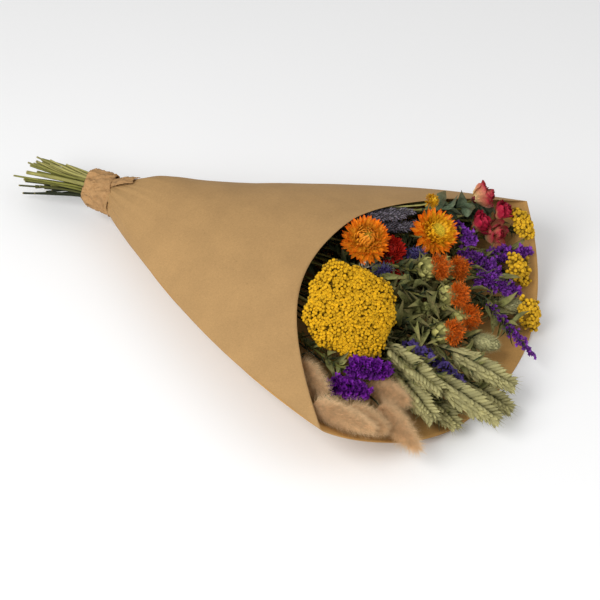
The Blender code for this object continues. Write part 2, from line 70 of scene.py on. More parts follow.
bl_info = {
    "name": "Dried Flower Bouquet",
    "version": (1, 0, 0),
    "blender": (4, 5, 0),
    "location": "3D View > Sidebar > Bouquet",
    "description": "Models a bouquet of dried flowers in a kraft paper sleeve",
    "category": "Add Mesh",
}

BODY = "root"
MM = 0.001
FULL_TURN = 2.0 * math.pi
GOLDEN = math.pi * (3.0 - math.sqrt(5.0))
PAINTS = {}

# Rings of a node's mesh that make its head, and the reach of the first ring along X.
HEAD_RINGS = 5
DOME_RINGS = 6
FIRST_RING_SPAN = 4.0 * MM

# Leaves keep this far from the paper. Cut ends lower than the first height are near-black green, partly real
# dark green and partly painted shade under the stems above; those over the second are pale straw.
CLEAR = 4.5 * MM
LOW_CUT = 20.0 * MM
HIGH_CUT = 56.0 * MM


# ---- settings ----
def colour_setting(name, about, default):
    return bpy.props.FloatVectorProperty(name=name, description=about, default=default,
                                         subtype="COLOR", size=3, min=0.0, max=1.0)


def length_setting(name, about, default, low, high):
    """A small length, given in millimetres."""
    return bpy.props.FloatProperty(name=name, description=about, default=default * MM,
                                   min=low * MM, max=high * MM, unit="LENGTH")


def angle_setting(name, about, degrees):
    return bpy.props.FloatProperty(name=name, description=about, default=math.radians(degrees),
                                   unit="ROTATION")


class PaperSettings(bpy.types.PropertyGroup):
    kraft_colour: colour_setting("Kraft paper", "Colour of the sleeve's paper", (0.42, 0.25, 0.10))
    inside_colour: colour_setting("Kraft inside", "Colour of the paper's inner side", (0.50, 0.275, 0.085))
    neck_colour: colour_setting("Neck strip", "Colour of the strip round the neck", (0.44, 0.25, 0.105))
    thickness: length_setting("Paper thickness", "Thickness of the sleeve's paper", 0.35, 0.1, 0.6)
    crease_depth: length_setting("Crease depth", "How far the folds near the neck stand out", 0.9, 0.0, 2.0)
    crumple: length_setting("Crumple", "How rough the strip round the neck is", 1.3, 0.0, 2.0)


class FlowerSettings(bpy.types.PropertyGroup):
    yarrow_colour: colour_setting("Yarrow", "Colour of the large yarrow head", (0.76, 0.42, 0.006))
    yarrow_floret: length_setting("Yarrow floret", "Distance between the yarrow's florets", 2.7, 1.5, 4.0)
    strawflower_base: colour_setting("Strawflower base", "Colour at the foot of orange bracts",
                                     (1.0, 0.50, 0.025))
    strawflower_tip: colour_setting("Strawflower tip", "Colour at the tip of orange bracts",
                                    (1.0, 0.17, 0.006))
    statice_colour: colour_setting("Statice", "Colour of the violet statice", (0.20, 0.042, 0.35))
    magenta_colour: colour_setting("Magenta statice", "Colour of the lower statice", (0.17, 0.014, 0.30))
    wheat_colour: colour_setting("Wheat", "Colour of the wheat ears", (0.43, 0.39, 0.17))
    bunny_colour: colour_setting("Bunny tails", "Colour of the bunny tail grasses", (0.97, 0.65, 0.36))
    hair_count: bpy.props.IntProperty(
        name="Hairs", description="Number of hairs on each bunny tail", default=6400, min=200)


class StageSettings(bpy.types.PropertyGroup):
    floor_colour: colour_setting("Floor", "Colour of the plain floor", (0.93, 0.93, 0.93))
    camera_azimuth: angle_setting("Camera azimuth", "Where the camera looks from, turned from -Y", 32.66)
    camera_elevation: angle_setting("Camera elevation", "Height of the camera over the horizon", 40.65)
    camera_distance: bpy.props.FloatProperty(
        name="Camera distance", description="From the camera to its target", default=1.6, unit="LENGTH")
    camera_lens: bpy.props.FloatProperty(
        name="Lens", description="Focal length in millimetres", default=108.3)
    key_power: bpy.props.FloatProperty(
        name="Key light", description="Power of the large soft light, in watts", default=19.0)


# ---- arrays ----
def unit(rows):
    """Rows of a table, each scaled to length 1."""
    return rows / np.linalg.norm(rows, axis=1, keepdims=True)


def columns(*values):
    """Lists, or single values, as the columns of a table."""
    return np.stack(np.broadcast_arrays(*values), axis=1)


def scale_rows(rows, factors):
    return rows * factors[:, None]


def spokes(angle, level, up):
    """Directions round an axis, one for each angle."""
    return np.outer(np.cos(angle), level) + np.outer(np.sin(angle), up)


def side_axes(aim):
    """Two axes square to aim: the first level with the table, the second leaning upwards."""
    level = np.cross(aim, (0.0, 0.0, 1.0))
    if np.linalg.norm(level) < 1e-6:
        level = np.array((0.0, 1.0, 0.0))
    level = level / np.linalg.norm(level)
    return level, np.cross(level, aim)


def smooth_route(points, per_span=4):
    """A smooth curve through the points (Catmull-Rom)."""
    padded = np.vstack([2 * points[0] - points[1], points, 2 * points[-1] - points[-2]])
    made = []
    for a, b, c, d in zip(padded, padded[1:], padded[2:], padded[3:]):
        for t in np.linspace(0.0, 1.0, per_span, endpoint=False):
            made.append(0.5 * (2 * b + (c - a) * t + (2 * a - 5 * b + 4 * c - d) * t ** 2
                               + (3 * b - a - 3 * c + d) * t ** 3))
    return np.array(made + [points[-1]])


# ---- what the frame says ----
def paper_surface():
    """The sleeve's surface, for keeping leaves inside it and the strip outside it."""
    mesh = frame["nodes"]["kraft_wrapper"].data
    return BVHTree.FromPolygons([vertex.co for vertex in mesh.vertices],
                                [tuple(polygon.vertices) for polygon in mesh.polygons])


paper_tree = paper_surface()


def names(start):
    """The frame's nodes of one kind, in order."""
    return sorted(node for node in frame["nodes"] if node.startswith(start))


def seed_of(text):
    return sum((k + 1) * ord(letter) for k, letter in enumerate(text))


def ring_route(node):
    """Centres and radii of a stem's rings, from its cut end to the tip of its head."""
    mesh = frame["nodes"][node].data
    places = np.array([vertex.co[:] for vertex in mesh.vertices])
    keys, merged = np.unique(np.round(places / 1e-6).astype(int), axis=0, return_inverse=True)
    merged = merged.reshape(-1)
    places = keys * 1e-6
    neighbours = [set() for _ in places]
    for polygon in mesh.polygons:
        corners = [int(merged[k]) for k in polygon.vertices]
        for corner in corners:
            neighbours[corner].update(corners)
    ring = {int(k) for k in np.where(places[:, 0] < places[:, 0].min() + FIRST_RING_SPAN)[0]}
    seen = set(ring)
    centres, radii = [], []
    while ring:
        spots = places[sorted(ring)]
        centre = spots.mean(axis=0)
        centres.append(centre)
        radii.append(np.linalg.norm(spots - centre, axis=1).mean())
        ring = set().union(*(neighbours[k] for k in ring)) - seen
        seen |= ring
    return np.array(centres), np.array(radii)


class Plant:
    """One cut stem: its route and the place, direction and size of its head."""

    def __init__(self, node, head_rings=HEAD_RINGS):
        self.node = node
        self.points, radii = ring_route(node)
        self.stem_end = len(self.points) - head_rings + 1
        self.stem_radius = float(radii[0])
        self.base = self.points[-head_rings]
        head = self.points[-1] - self.base
        self.length = float(np.linalg.norm(head))
        self.aim = head / self.length
        self.radius = float(radii[-head_rings:].max())
        self.level, self.up = side_axes(self.aim)
        self.seed = seed_of(node)
        self.rng = np.random.default_rng(self.seed)

    def along(self, share):
        """Places on the head's axis, at shares of its length."""
        return self.base + np.multiply.outer(share, self.aim) * self.length


# ---- shapes: arrays that are copied, turned and joined into one piece ----
class Shape:
    """Corner places, faces of three or four corners, and two values for each corner:
    reach, from 0 at the foot to 1 at the tip, and tone, a shade that differs by copy."""

    def __init__(self, places, faces, reach, tone=0.5, paint=None):
        self.places = places
        self.faces = faces
        self.reach = reach
        self.tone = np.broadcast_to(tone, len(places))
        self.paint = paint


def start_clean():
    if bpy.context.object and bpy.context.object.mode != "OBJECT":
        bpy.ops.object.mode_set(mode="OBJECT")
    bpy.ops.object.select_all(action="DESELECT")


def pick(piece):
    """Makes a piece the only one selected, and the active one."""
    start_clean()
    bpy.context.view_layer.objects.active = piece
    piece.select_set(True)


def take_shape():
    """Reads the object just modelled into a Shape and removes it. Reach runs up its height."""
    piece = bpy.context.object
    places = np.array([piece.matrix_world @ vertex.co for vertex in piece.data.vertices])
    faces = [tuple(polygon.vertices) for polygon in piece.data.polygons]
    height = places[:, 2]
    reach = (height - height.min()) / max(np.ptp(height), 1e-9)
    bpy.data.objects.remove(piece, do_unlink=True)
    return Shape(places, faces, reach)


def turned_frames(outs, ups):
    """Axes for copies: z along outs, x as near to ups as it can be."""
    z = unit(outs)
    x = ups - (ups * z).sum(1, keepdims=True) * z
    spare = np.cross(z, np.array([0.31, 0.87, 0.38]))
    x = unit(np.where(np.linalg.norm(x, axis=1, keepdims=True) < 1e-5, spare, x))
    return x, np.cross(z, x), z


def copies(shape, centres, outs, ups, sizes, tones=0.5, paint=None):
    """Copies of a shape: its z turned to outs and its x towards ups, scaled by sizes."""
    count = len(centres)
    if np.ndim(sizes) < 2:
        sizes = np.reshape(sizes, (-1, 1))
    axes = turned_frames(*(np.broadcast_to(np.asarray(way, float), (count, 3)) for way in (outs, ups)))
    local = shape.places * np.broadcast_to(sizes, (count, 3))[:, None, :]
    world = centres[:, None, :] + sum(local[:, :, k:k + 1] * axis[:, None, :] for k, axis in enumerate(axes))
    step = len(shape.places)
    faces = [tuple(corner + step * k for corner in face) for k in range(count) for face in shape.faces]
    tones = np.repeat(np.broadcast_to(tones, count), step)
    return Shape(world.reshape(-1, 3), faces, np.tile(shape.reach, count), tones, paint)


def tube(points, radii, sides=6, tone=0.5, paint=None):
    """A closed tube through points; its sides are copied from one ring, turned along the route."""
    radii = np.broadcast_to(radii, len(points))
    ahead = np.gradient(points, axis=0)
    ahead /= np.maximum(np.linalg.norm(ahead, axis=1, keepdims=True), 1e-12)
    x, y, _ = turned_frames(ahead, np.broadcast_to((0.0, 0.13, 1.0), ahead.shape))
    angles = np.arange(sides) * FULL_TURN / sides
    ring = np.cos(angles)[:, None] * x[:, None, :] + np.sin(angles)[:, None] * y[:, None, :]
    places = (points[:, None, :] + ring * radii[:, None, None]).reshape(-1, 3)
    faces = []
    for row in range(len(points) - 1):
        for k in range(sides):
            a, b = row * sides + k, row * sides + (k + 1) % sides
            faces.append((a, b, b + sides, a + sides))
    last = (len(points) - 1) * sides
    faces.append(tuple(reversed(range(sides))))
    faces.append(tuple(range(last, last + sides)))
    return Shape(places, faces, np.repeat(np.linspace(0.0, 1.0, len(points)), sides), tone, paint)


def join_shapes(name, shapes):
    """One mesh object from shapes, with a material slot for each paint that they use."""
    faces, slots, used, start = [], [], [], 0
    for shape in shapes:
        if shape.paint not in used:
            used.append(shape.paint)
        faces.extend(tuple(corner + start for corner in face) for face in shape.faces)
        slots.extend([used.index(shape.paint)] * len(shape.faces))
        start += len(shape.places)
    mesh = bpy.data.meshes.new(name)
    mesh.from_pydata(np.vstack([shape.places for shape in shapes]), [], faces)
    mesh.polygons.foreach_set("material_index", slots)
    for label in ("reach", "tone"):
        values = np.concatenate([getattr(shape, label) for shape in shapes])
        mesh.attributes.new(label, "FLOAT", "POINT").data.foreach_set("value", values.astype(np.float32))
    for paint in used:
        mesh.materials.append(PAINTS[paint])
    mesh.shade_smooth()
    mesh.update()
    piece = bpy.data.objects.new(name, mesh)
    bpy.context.scene.collection.objects.link(piece)
    return piece


def hand_over(piece, node):
    """The finished piece rides on the bouquet and stands for its node."""
    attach(piece, BODY)
    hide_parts(node)


# ---- small shapes, each modelled once with Blender's tools ----
# Columns and cup of each leaf or petal, then its rows from foot to tip: height, width, forward.
BLADES = {
    "pointed_bract": (3, 0.07, (0.0, 0.55, 0.0), (0.25, 0.92, -0.05), (0.55, 1.0, -0.06),
                      (0.80, 0.66, 0.0), (1.0, 0.10, 0.13)),
    "curled_bract": (3, 0.10, (0.0, 0.60, 0.0), (0.30, 1.0, -0.10), (0.60, 0.95, -0.08),
                     (0.85, 0.55, 0.08), (1.0, 0.10, 0.26)),
    "bud_bract": (5, 0.12, (0.0, 0.60, 0.0), (0.30, 0.95, -0.05), (0.60, 1.0, -0.06),
                  (0.85, 0.60, -0.02), (1.0, 0.12, 0.10)),
    "wide_petal": (5, 0.24, (0.0, 0.30, 0.0), (0.16, 0.62, -0.10), (0.36, 0.90, -0.20),
                   (0.58, 1.0, -0.24), (0.78, 0.95, -0.18), (0.92, 0.72, -0.05), (1.0, 0.42, 0.06)),
    "leaf_blade": (5, 0.14, (0.0, 0.08, 0.0), (0.12, 0.55, 0.03), (0.32, 0.95, 0.05),
                   (0.52, 1.0, 0.04), (0.72, 0.76, -0.02), (0.88, 0.40, -0.10), (1.0, 0.05, -0.20)),
    "curled_leaf": (5, 0.26, (0.0, 0.22, 0.0), (0.15, 0.62, 0.10), (0.35, 1.0, 0.17),
                    (0.55, 0.98, 0.14), (0.75, 0.66, -0.02), (0.90, 0.34, -0.22), (1.0, 0.05, -0.42)),
    "long_leaf": (3, 0.012, (0.0, 0.80, 0.0), (0.15, 1.0, 0.010), (0.30, 1.0, 0.028),
                  (0.45, 0.95, 0.040), (0.60, 0.85, 0.040), (0.75, 0.65, 0.024), (0.88, 0.40, -0.004),
                  (1.0, 0.05, -0.040)),
    "small_petal": (3, 0.16, (0.0, 0.25, 0.0), (0.35, 0.85, 0.05), (0.70, 1.0, 0.02),
                    (1.0, 0.35, -0.12)),
}


@lru_cache(maxsize=None)
def blade(name):
    """A leaf or petal: an edge extruded upwards row by row, its sides lifted towards +X."""
    across, cup, *rows = BLADES[name]
    start_clean()
    bpy.ops.mesh.primitive_grid_add(x_subdivisions=1, y_subdivisions=across - 1, size=1.0)
    piece = bpy.context.object
    bpy.ops.object.mode_set(mode="EDIT")
    bpy.ops.mesh.select_mode(type="VERT")
    shape = bmesh.from_edit_mesh(piece.data)
    for vertex in shape.verts:
        vertex.select = vertex.co.x > 0.0
    bmesh.update_edit_mesh(piece.data)
    bpy.ops.mesh.delete(type="VERT")
    shape = bmesh.from_edit_mesh(piece.data)
    height, width, forward = rows[0]
    for vertex in shape.verts:
        vertex.co = (forward, vertex.co.y * width, height)
    shape.select_mode = {"EDGE"}
    for edge in shape.edges:
        edge.select = True
    bmesh.update_edit_mesh(piece.data)
    bpy.ops.mesh.select_mode(type="EDGE")
    for (low, narrow, back), (high, wide, ahead) in zip(rows, rows[1:]):
        bpy.ops.mesh.extrude_edges_move(TRANSFORM_OT_translate={"value": (ahead - back, 0.0, high - low)})
        bpy.ops.transform.resize(value=(1.0, wide / narrow, 1.0), center_override=(ahead, 0.0, high))
    bpy.ops.object.mode_set(mode="OBJECT")
    made = take_shape()
    half = max(width for _, width, _ in rows) * 0.5
    made.places[:, 0] += cup * (made.places[:, 1] / half) ** 2
    return made


def raised_ring(sides, radius, fill, extrude, steps, dent=0.0):
    """A ring extruded upwards; each step is its rise and how much wider the ring gets."""
    start_clean()
    bpy.ops.mesh.primitive_circle_add(vertices=sides, radius=radius, fill_type=fill)
    bpy.ops.object.mode_set(mode="EDIT")
    bpy.ops.mesh.select_mode(type="EDGE" if fill == "NOTHING" else "FACE")
    bpy.ops.mesh.select_all(action="SELECT")
    for rise, grow in steps:
        extrude(TRANSFORM_OT_translate={"value": (0.0, 0.0, rise)})
        bpy.ops.transform.resize(value=(grow, grow, 1.0))
    if dent:
        bpy.ops.mesh.inset(thickness=0.07, depth=-dent)
    bpy.ops.object.mode_set(mode="OBJECT")
    return take_shape()


@lru_cache(maxsize=None)
def tiny_floret():
    """A tiny flower head: a bud that opens to a rim with a sunk middle."""
    return raised_ring(6, 0.30, "NGON", bpy.ops.mesh.extrude_region_move,
                       ((0.26, 1.62), (0.34, 1.06), (0.22, 0.80), (0.10, 0.66)), 0.10)


@lru_cache(maxsize=None)
def husk():
    """A pointed grain husk, one unit long, its foot at the origin."""
    return raised_ring(7, 0.09, "NGON", bpy.ops.mesh.extrude_region_move,
                       ((0.14, 1.65), (0.22, 1.22), (0.26, 0.94), (0.22, 0.62), (0.16, 0.16)))


@lru_cache(maxsize=None)
def papery_cup():
    """A funnel with a crinkled rim, one unit high."""
    made = raised_ring(8, 0.10, "NOTHING", bpy.ops.mesh.extrude_edges_move,
                       ((0.40, 1.5), (0.30, 1.9), (0.30, 1.55)))
    rim = made.reach > 0.98
    crinkle = np.cos(np.arctan2(made.places[rim, 1], made.places[rim, 0]) * 4.0)
    made.places[rim, 2] += 0.11 * crinkle
    made.places[rim, :2] *= (1.0 + 0.16 * crinkle)[:, None]
    return made


@lru_cache(maxsize=None)
def small_bead():
    start_clean()
    bpy.ops.mesh.primitive_uv_sphere_add(segments=6, ring_count=4, radius=1.0)
    return take_shape()


@lru_cache(maxsize=None)
def hair():
    """A hair or thread: a long thin cone of length 1, radius 1 at its foot."""
    start_clean()
    bpy.ops.mesh.primitive_cone_add(vertices=3, radius1=1.0, radius2=0.12, depth=1.0,
                                    location=(0.0, 0.0, 0.5), end_fill_type="NOTHING")
    return take_shape()


@lru_cache(maxsize=None)
def five_petals():
    """An open flower of five petals round the +Z axis, one unit across."""
    radial = spokes(np.arange(5) * FULL_TURN / 5.0, (1.0, 0.0, 0.0), (0.0, 1.0, 0.0))
    outs = radial * 0.86 + (0.0, 0.0, 0.5)
    ups = np.array((0.0, 0.0, 1.0)) - radial * 0.5
    return copies(blade("small_petal"), radial * 0.04, outs, ups, np.array(((0.52, 0.40, 0.52),)))


def hairs(plant, places, outs, thick, grown, tones, paint):
    """Hairs, threads or twigs of the given thickness and length."""
    return copies(hair(), places, outs, plant.aim, columns(thick, thick, grown), tones, paint)


# ---- materials ----
class Nodes:
    """A short way to lay out a material's nodes: sockets are linked, other values are set."""

    def __init__(self, name):
        self.material = bpy.data.materials.new(name)
        self.material.use_nodes = True
        PAINTS[name] = self.material
        self.tree = self.material.node_tree
        self.shader = self.tree.nodes["Principled BSDF"]

    def feed(self, socket, value):
        if isinstance(value, bpy.types.NodeSocket):
            self.tree.links.new(value, socket)
        else:
            socket.default_value = value

    def add(self, kind, **values):
        node = self.tree.nodes.new(kind)
        for label, value in values.items():
            if label.startswith("_"):
                setattr(node, label[1:], value)
            else:
                self.feed(node.inputs[label.replace("_", " ")], value)
        return node

    def objects(self):
        return self.add("ShaderNodeTexCoord").outputs["Object"]

    def attribute(self, label):
        return self.add("ShaderNodeAttribute", _attribute_name=label).outputs["Fac"]

    def noise(self, scale, detail=4.0, roughness=0.6, stretch=None):
        place = self.objects()
        if stretch:
            place = self.add("ShaderNodeMapping", Vector=place, Scale=stretch).outputs["Vector"]
        return self.add("ShaderNodeTexNoise", Vector=place, Scale=scale, Detail=detail,
                        Roughness=roughness).outputs["Fac"]

    def ramp(self, factor, *stops):
        """Stops are places and colours; a single number stands for a grey."""
        node = self.add("ShaderNodeValToRGB", Fac=factor)
        elements = node.color_ramp.elements
        while len(elements) < len(stops):
            elements.new(0.5)
        for element, (place, colour) in zip(elements, stops):
            element.position = place
            element.color = (*(colour if isinstance(colour, tuple) else (colour,) * 3), 1.0)
        return node.outputs["Color"]

    def mix(self, factor, first, second, blend="MIX"):
        node = self.add("ShaderNodeMix", _data_type="RGBA", _blend_type=blend)
        for index, value in ((0, factor), (6, first), (7, second)):
            self.feed(node.inputs[index], (*value, 1.0) if isinstance(value, tuple) else value)
        return node.outputs[2]

    def shaded(self, colour, shade):
        return self.mix(1.0, colour, shade, "MULTIPLY")

    def math(self, operation, first, second):
        node = self.add("ShaderNodeMath", _operation=operation)
        self.feed(node.inputs[0], first)
        self.feed(node.inputs[1], second)
        return node.outputs[0]

    def finish(self, colour, bump=None, depth=0.0, roughness=0.8):
        self.feed(self.shader.inputs["Base Color"], colour)
        self.feed(self.shader.inputs["Roughness"], roughness)
        self.feed(self.shader.inputs["Specular IOR Level"], 0.25)
        if bump is not None:
            relief = self.add("ShaderNodeBump", Strength=1.0, Distance=depth, Height=bump)
            self.feed(self.shader.inputs["Normal"], relief.outputs["Normal"])
        return self.material


def scaled(colour, factor):
    return tuple(min(1.0, channel * factor) for channel in colour)


def petal_finish(name, foot, tip, dark, light, grain, roughness, bend=1.0, middle=None):
    """Dried petal: colour runs from foot to tip, each copy has its own shade, fine mottling."""
    nodes = Nodes(name)
    reach = nodes.math("POWER", nodes.attribute("reach"), bend)
    stops = [(0.0, foot), (1.0, tip)]
    if middle is not None:
        stops.insert(1, (0.5, middle))
    toned = nodes.shaded(nodes.ramp(reach, *stops),
                         nodes.ramp(nodes.attribute("tone"), (0.0, dark), (1.0, light)))
    colour = nodes.shaded(toned, nodes.ramp(nodes.noise(grain), (0.3, 0.72), (0.7, 1.12)))
    nodes.finish(colour, nodes.noise(grain * 1.6, 3.0), 0.25 * MM, roughness)


def stem_finish(name):
    """Dried stems: near-black green low in the bunch, partly real dark green and partly painted shade, and
    straw at its top, with pale cut ends.
    """
    nodes = Nodes(name)
    streaks = nodes.noise(420.0, 5.0, 0.65, (0.12, 1.0, 1.0))
    base = nodes.ramp(nodes.attribute("tone"), (0.05, (0.020, 0.024, 0.006)), (0.38, (0.19, 0.185, 0.035)),
                      (0.75, (0.42, 0.38, 0.13)))
    colour = nodes.shaded(base, nodes.ramp(streaks, (0.30, 0.58), (0.68, 1.25)))
    cut = nodes.ramp(nodes.attribute("reach"), (0.0, 0.8), (0.003, 0.0))
    nodes.finish(nodes.mix(cut, colour, (0.50, 0.42, 0.20)), streaks, 0.3 * MM, 0.7)


def leaf_finish(name, dark, light):
    """Dried leaf: blotches of two greens, browner at the tip, finely wrinkled."""
    nodes = Nodes(name)
    base = nodes.ramp(nodes.noise(260.0, 6.0, 0.68), (0.34, dark), (0.66, light))
    toned = nodes.shaded(base, nodes.ramp(nodes.attribute("tone"), (0.0, 0.55), (1.0, 1.3)))
    dry = nodes.ramp(nodes.attribute("reach"), (0.55, 0.0), (1.0, 0.55))
    nodes.finish(nodes.mix(dry, toned, (0.17, 0.11, 0.045)), nodes.noise(700.0, 4.0), 0.5 * MM, 0.75)


def kraft_finish(name, colour, contrast=1.0, crumpled=0.0):
    """Kraft paper: cloudy pulp, short fibres lying every way, darker specks, fine wrinkles."""
    nodes = Nodes(name)
    cloudy = nodes.ramp(nodes.noise(28.0, 5.0, 0.55), (0.30, scaled(colour, 1.0 - 0.075 * contrast)),
                        (0.70, scaled(colour, 1.0 + 0.065 * contrast)))
    fibres = nodes.noise(1100.0, 6.0, 0.72, (0.35, 1.0, 1.0))
    crossed = nodes.noise(1000.0, 6.0, 0.72, (1.0, 0.30, 1.0))
    both = nodes.math("ADD", nodes.math("MULTIPLY", fibres, 0.5), nodes.math("MULTIPLY", crossed, 0.5))
    shaded = nodes.shaded(cloudy, nodes.ramp(both, (0.34, 0.84), (0.66, 1.10)))
    specks = nodes.ramp(nodes.noise(620.0, 2.0, 0.5), (0.66, 0.0), (0.74, 0.38))
    wrinkles = nodes.math("ADD", nodes.math("MULTIPLY", fibres, 0.25), nodes.noise(90.0, 6.0, 0.6))
    if crumpled:
        facets = nodes.add("ShaderNodeTexVoronoi", Scale=130.0, Vector=nodes.objects())
        wrinkles = nodes.math("ADD", wrinkles, nodes.math("MULTIPLY", facets.outputs["Distance"], crumpled))
    nodes.finish(nodes.mix(specks, shaded, scaled(colour, 0.55)), wrinkles, 0.35 * MM * contrast, 0.82)


def rubber_finish(name):
    """Tan rubber band, dusty and slightly mottled."""
    nodes = Nodes(name)
    colour = nodes.ramp(nodes.noise(500.0, 4.0), (0.35, (0.25, 0.15, 0.06)), (0.65, (0.38, 0.25, 0.11)))
    nodes.finish(colour, nodes.noise(1500.0, 3.0), 0.1 * MM, 0.55)


def mix_paints(flowers, paper):
    """All materials. Shapes name the one they are painted with."""
    straw, violet = flowers.wheat_colour, flowers.statice_colour
    magenta, gold = flowers.magenta_colour, flowers.yarrow_colour
    beige = flowers.bunny_colour
    # Colour at the foot and at the tip, darkest and lightest shade, grain, roughness, then for
    # some a bend of the change between the two and a colour half way.
    petals = {
        # The tiny florets' near-black feet are painted shade in the gaps between florets.
        "yarrow_floret": (scaled(gold, 0.22), scaled(gold, 1.12), 0.66, 1.2, 1500.0, 0.78, 1.5),
        "tansy_floret": (scaled(gold, 0.20), (0.86, 0.50, 0.018), 0.66, 1.2, 1500.0, 0.75, 1.3),
        "floret_core": ((0.22, 0.115, 0.006), (0.30, 0.16, 0.008), 0.5, 1.2, 900.0, 0.9),
        "orange_bract": (tuple(flowers.strawflower_base), tuple(flowers.strawflower_tip), 0.80, 1.2,
                         1300.0, 0.40, 1.7),
        "inner_bract": ((0.80, 0.42, 0.02), (1.0, 0.36, 0.03), 0.80, 1.2, 1300.0, 0.40, 1.2),
        "gold_bract": ((0.80, 0.42, 0.012), (1.0, 0.56, 0.02), 0.80, 1.15, 1300.0, 0.40),
        "red_bract": ((0.30, 0.012, 0.006), (0.62, 0.022, 0.012), 0.55, 1.2, 1300.0, 0.42),
        "yellow_bract": ((0.62, 0.28, 0.010), (0.90, 0.52, 0.015), 0.75, 1.15, 1300.0, 0.45),
        "olive_disc": ((0.52, 0.32, 0.015), (0.92, 0.64, 0.06), 0.7, 1.2, 1800.0, 0.8),
        "yellow_disc": ((0.42, 0.24, 0.010), (0.90, 0.66, 0.04), 0.7, 1.2, 1800.0, 0.8),
        "dried_rose_petal": ((0.84, 0.66, 0.30), (0.44, 0.005, 0.040), 0.65, 1.25, 700.0, 0.55, 1.25,
                             (0.74, 0.30, 0.16)),
        "red_rose_petal": ((0.74, 0.44, 0.18), (0.40, 0.006, 0.035), 0.62, 1.25, 700.0, 0.55, 1.0,
                           (0.50, 0.035, 0.060)),
        "dark_rose_petal": ((0.38, 0.06, 0.05), (0.20, 0.006, 0.030), 0.6, 1.3, 900.0, 0.55),
        "lavender_calyx": ((0.11, 0.10, 0.085), (0.20, 0.175, 0.23), 0.4, 1.5, 1600.0, 0.85),
        "indigo_petal": ((0.035, 0.025, 0.09), (0.080, 0.045, 0.22), 0.55, 1.5, 1200.0, 0.6),
        "thistle_spine": ((0.045, 0.040, 0.11), (0.24, 0.23, 0.50), 0.5, 1.4, 1500.0, 0.6),
        "statice_cup": (scaled(violet, 0.45), scaled(violet, 1.15), 0.55, 1.45, 1200.0, 0.6),
        "magenta_cup": (scaled(magenta, 0.45), scaled(magenta, 1.15), 0.55, 1.45, 1200.0, 0.6),
        "cream_bract": ((0.42, 0.34, 0.18), (0.82, 0.76, 0.62), 0.7, 1.1, 1300.0, 0.6),
        "green_bract": ((0.13, 0.13, 0.025), (0.52, 0.48, 0.15), 0.60, 1.2, 900.0, 0.7),
        "safflower_thread": ((0.62, 0.11, 0.005), (1.0, 0.22, 0.010), 0.55, 1.25, 1500.0, 0.6),
        "wheat_husk": (scaled(straw, 0.62), scaled(straw, 1.05), 0.62, 1.2, 1100.0, 0.65),
        "wheat_awn": (scaled(straw, 0.8), scaled(straw, 1.1), 0.75, 1.15, 1500.0, 0.6),
        "canary_grass_scale": ((0.28, 0.28, 0.11), (0.60, 0.56, 0.28), 0.65, 1.2, 1300.0, 0.7),
        "bunny_tail_hair": (scaled(beige, 0.88), scaled(beige, 1.10), 0.90, 1.10, 300.0, 0.9),
        "bunny_tail_core": (scaled(beige, 0.72), scaled(beige, 0.85), 0.8, 1.1, 1500.0, 0.9),
    }
    for name, values in petals.items():
        petal_finish(name, *values)
    leaf_finish("olive_leaf", (0.13, 0.135, 0.040), (0.30, 0.295, 0.10))
    leaf_finish("grey_green_leaf", (0.055, 0.085, 0.045), (0.155, 0.20, 0.115))
    leaf_finish("dark_leaf", (0.020, 0.032, 0.012), (0.085, 0.105, 0.040))
    leaf_finish("umbel_branch", (0.10, 0.10, 0.035), (0.22, 0.20, 0.07))
    stem_finish("dried_stem")
    kraft_finish("kraft_paper", tuple(paper.kraft_colour))
    kraft_finish("kraft_paper_inside", tuple(paper.inside_colour))
    kraft_finish("crumpled_paper", tuple(paper.neck_colour), 1.8, 7.0)
    rubber_finish("tie_band")


# ---- placing many small shapes over a head ----
# Outlines of heads and of their cores: share of the length, share of the radius.
DOME_TOP = ((0.60, 0.94), (0.70, 1.0), (0.82, 0.93), (0.92, 0.74), (0.98, 0.46), (1.0, 0.0))
DOME_CORE = ((0.34, 0.20), (0.56, 0.66), (0.68, 0.86), (0.80, 0.80), (0.90, 0.50), (0.93, 0.0))
CROWN = ((0.42, 0.90), (0.55, 1.06), (0.76, 0.98), (0.94, 0.62), (1.02, 0.0))
ROUND = ((0.0, 0.30), (0.15, 0.72), (0.40, 1.0), (0.70, 0.92), (0.90, 0.58), (1.0, 0.0))
TAIL = ((0.0, 0.34), (0.10, 0.78), (0.34, 1.0), (0.60, 0.82), (0.84, 0.46), (1.0, 0.10))
LONG = ((0.0, 0.35), (0.10, 0.80), (0.40, 1.0), (0.75, 0.82), (0.93, 0.45), (1.0, 0.0))
DISC = ((0.50, 1.0), (0.64, 0.92), (0.74, 0.6), (0.78, 0.0))
DISC_CORE = ((0.02, 0.4), (0.20, 0.95), (0.42, 1.0), (0.62, 0.75), (0.68, 0.0))
ROSE_CORE = ((-0.10, 0.20), (0.0, 0.85), (0.14, 1.0), (0.42, 0.8), (0.62, 0.0))
BUD_CORE = ((-0.06, 0.35), (0.06, 0.90), (0.26, 1.10), (0.46, 0.92), (0.58, 0.45), (0.60, 0.0))


def profile(plant, outline, steps, wide):
    """An outline in fine steps, in metres: along the head's axis and out from it."""
    spots, knots = np.linspace(0.0, 1.0, steps), np.linspace(0.0, 1.0, len(outline))
    along, across = (np.interp(spots, knots, side) for side in zip(*outline))
    return along * plant.length, across * plant.radius * wide


